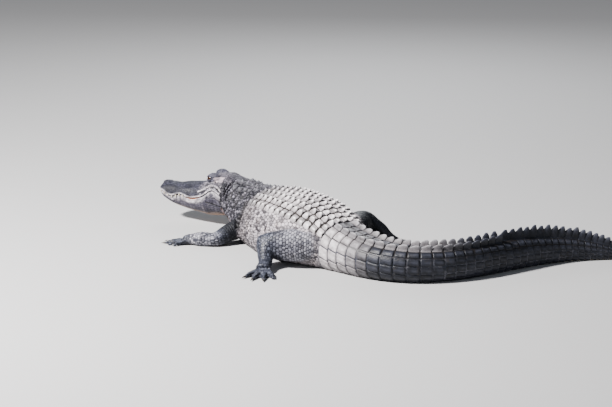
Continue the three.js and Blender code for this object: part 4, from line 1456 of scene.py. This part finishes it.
def scute_material():
    """Horny plates: dark borders, a pale keel that is partly rubbed pale and partly a painted highlight, a
    painted shadow behind each keel's peak, and mud in patches, all darker by the plate's shade.
    """
    m = Shading("scute")
    blotch = m.noise(34, 8, 0.65)
    pale = m.ramp(blotch, (0.3, (0.12, 0.11, 0.115)), (0.5, (0.31, 0.29, 0.3)), (0.7, (0.46, 0.435, 0.45)))
    slate = m.ramp(blotch, (0.32, (0.003, 0.0035, 0.005)), (0.7, (0.016, 0.018, 0.026)))
    shade = m.attribute("shade")
    colour = m.mix(shade, pale, slate)
    tone = m.ramp(m.attribute("tone"), (0, (0.55, 0.54, 0.54)), (1, (1.25, 1.23, 1.23)))
    colour = m.times(colour, tone)
    # Pale paint on the keel: partly the keel rubbed pale, partly a painted highlight on its top
    keel_wear_and_highlight = m.mix(shade, (0.86, 0.83, 0.83), (0.06, 0.063, 0.085))
    chips = m.ramp(m.noise(160, 6, 0.7), (0.36, 0.4), (0.55, 1))
    keel = m.times(m.attribute("keel"), chips)
    colour = m.mix(keel, colour, keel_wear_and_highlight)
    stain = m.ramp(m.noise(48, 7, 0.7), (0.57, 0), (0.72, 0.5))
    colour = m.mix(stain, colour, (0.05, 0.038, 0.028))
    # Dark seams at the plates' borders, and the painted shadow behind each keel's peak
    seams_and_shadow = m.ramp(m.attribute("seams_and_shadow"), (0.2, 0), (0.75, 1))
    colour = m.mix(seams_and_shadow, (0.006, 0.0055, 0.005), colour)
    dry = m.ramp(m.noise(60), (0.35, 0.42), (0.7, 0.68))
    gloss = m.mix(shade, dry, (0.42, 0.42, 0.42))
    grain = m.bump(m.noise(380, 4), 0.4, 0.0008)
    grain = m.bump(m.noise(120, 6, 0.7), 0.6, 0.0022, Normal=grain)
    return m.finished(Base_Color=colour, Roughness=gloss, Specular_IOR_Level=0.2, Normal=grain)


# Eyes, teeth and claws
def eye_material():
    """A wet eye: brown iris darker outwards, and a black upright slit."""
    m = Shading("eye")
    iris = m.ramp(m.noise(260, 6, 0.7), (0.35, (0.009, 0.004, 0.002)), (0.65, (0.032, 0.013, 0.006)))
    rings = ((0.3, (1.0, 0.9, 0.8)), (0.62, (0.45, 0.4, 0.35)), (0.8, (0.1, 0.09, 0.08)))
    colour = m.times(iris, m.ramp(m.attribute("ring"), *rings))
    colour = m.mix(m.attribute("pupil"), colour, (0.002, 0.002, 0.002))
    return m.finished(
        Base_Color=colour, Roughness=0.12, Specular_IOR_Level=0.08, Coat_Weight=0.1, Coat_Roughness=0.05
    )


def make_eyes():
    material = eye_material()
    ball = ellipsoid((0, 0, 0), (1, 1, 1), 72, 48)
    x, y, z = ball.reshape(-1, 3).T
    slit = abs(y) / np.maximum(0.13 * (1 - (z / 0.5) ** 2), 0.01)
    pupil = fading(0.8, 1.15, slit) * (x > 0) * (abs(z) < 0.5)
    for name, side in (("eye_left", 1), ("eye_right", -1)):
        centre, *axes = eye_frame(side)
        obj = to_object(f"{name}_ball", *loft(from_head(centre + EYE["radius"] * (ball @ np.array(axes)))))
        add_attribute(obj, "ring", np.arccos(np.clip(x, -1, 1)) / (np.pi / 2))
        add_attribute(obj, "pupil", pupil)
        obj.data.materials.append(material)
        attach(obj, "root")
        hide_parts(name)


# Upper teeth: distance from the snout's tip, length, radius
UPPER_TEETH = [
    (22, 9, 3), (44, 12, 3.6), (64, 8, 3), (88, 10, 3.4), (112, 15, 4.4), (134, 12, 4), (156, 9, 3.4),
    (174, 7, 3),
]


def tooth_material():
    m = Shading("tooth")
    colour = m.ramp(m.noise(90, 6), (0.35, (0.5, 0.4, 0.24)), (0.6, (0.78, 0.72, 0.58)))
    return m.finished(Base_Color=colour, Roughness=0.28, Normal=m.bump(m.noise(500, 3), 0.2, 0.0004))


def tooth(side, u, length, radius):
    """An upper tooth that hangs over the edge of the lower jaw, its tip curved inwards."""
    width, edge = skull_at(u)[0], mouth_at(u)[0]
    angle = np.linspace(0, 2 * np.pi, 16, endpoint=False)
    rings = []
    for share in np.linspace(-0.5, 1, 12):
        down = max(share, 0)
        r = 0.85 * radius * (1 - down) ** 0.7
        x = HEAD_LENGTH - u + r * 1.05 * np.cos(angle)
        y = side * (width - 3.2 - 2.4 * down**2) + r * np.sin(angle)
        rings.append(np.stack([x, y, np.full(16, edge - 0.5 - length * share)], 1))
    return loft(from_head(rings))


def make_teeth():
    obj = to_object("teeth", *joined([tooth(side, *row) for side in (1, -1) for row in UPPER_TEETH]))
    obj.data.materials.append(tooth_material())
    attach(obj, "root")


def claw_material():
    m = Shading("claw")
    colour = m.ramp(m.noise(70, 6), (0.35, (0.014, 0.012, 0.011)), (0.7, (0.07, 0.06, 0.05)))
    return m.finished(Base_Color=colour, Roughness=0.3, Normal=m.bump(m.noise(300, 4), 0.35, 0.0006))


def make_claws():
    material = claw_material()
    for name, leg in LEGS.items():
        limb, side = name.split("_")
        for i, d in enumerate(leg["digits"][:CLAWED_TOES]):
            shape = claw_shape(d["tip"], d["along"], leg["claw"])
            obj = to_object(f"claw_{limb}_{i + 1}_{side}", *shape)
            obj.data.materials.append(material)
            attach(obj, "root")
            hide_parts(f"{limb}_claw_{i + 1}_{side}")


# Stage
def make_floor():
    size = 12000
    corners = [(-size, -size, 0), (size, -size, 0), (size, size, 0), (-size, size, 0)]
    floor = to_object("floor", corners, [(0, 1, 2, 3)])
    pale = Shading("floor_pale").finished(Base_Color=(0.35, 0.35, 0.352), Roughness=0.9)
    floor.data.materials.append(pale)


def add_to_scene(name, data, position, target):
    """An object for a camera or a light, that looks from its position at a target."""
    obj = bpy.data.objects.new(name, data)
    bpy.context.scene.collection.objects.link(obj)
    obj.location = position
    obj.rotation_euler = (Vector(target) - Vector(position)).to_track_quat("-Z", "Y").to_euler()
    return obj


def make_camera():
    camera = bpy.data.cameras.new("camera")
    right = (IMAGE_WIDTH / 2 - ORIGIN_PIXEL[0]) / PIXELS_PER_METRE
    up = (ORIGIN_PIXEL[1] - IMAGE_HEIGHT / 2) / PIXELS_PER_METRE
    c, s = math.cos(CAMERA_ELEVATION), math.sin(CAMERA_ELEVATION)
    target = np.array([right, up * s, up * c])
    position = target + CAMERA_DISTANCE * np.array([0, -c, s])
    bpy.context.scene.camera = add_to_scene("camera", camera, position, target)
    camera.sensor_width = SENSOR_WIDTH
    camera.sensor_fit = "HORIZONTAL"
    camera.lens = SENSOR_WIDTH / (IMAGE_WIDTH / PIXELS_PER_METRE) * CAMERA_DISTANCE
    camera.clip_end = 100


def area_light(name, position, target, size, power, colour):
    light = bpy.data.lights.new(name, "AREA")
    light.shape = "DISK"
    light.size = size
    light.energy = power
    light.color = colour
    add_to_scene(name, light, position, target)


def make_lights():
    area_light("key", (-3.9, -2.0, 4.6), (0.2, 0, 0.1), 0.8, 2200, (1.0, 0.975, 0.96))
    area_light("fill", (3.5, -5.0, 2.4), (0.3, 0, 0.1), 3.5, 55, (0.86, 0.92, 1.0))
    area_light("rim", (0.5, 4.8, 3.0), (0.2, 0, 0.1), 2.5, 150, (0.95, 0.97, 1.0))
    world = bpy.data.worlds.new("world")
    bpy.context.scene.world = world
    world.use_nodes = True
    colour, strength = world.node_tree.nodes["Background"].inputs[:2]
    colour.default_value = (0.8, 0.87, 1.0, 1)
    strength.default_value = 0.2


make_camera()
make_lights()
make_floor()

skin = make_skin()
skin.data.materials.append(skin_material())
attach(skin, "root")
fleshy = [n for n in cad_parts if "claw" not in n and not n.startswith("eye")]
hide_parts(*fleshy)

scutes = scute_material()
dorsal_plates(scutes)
tail_plates(scutes)
tail_crest(scutes)
nuchal_plates(scutes)
make_eyes()
make_teeth()
make_claws()
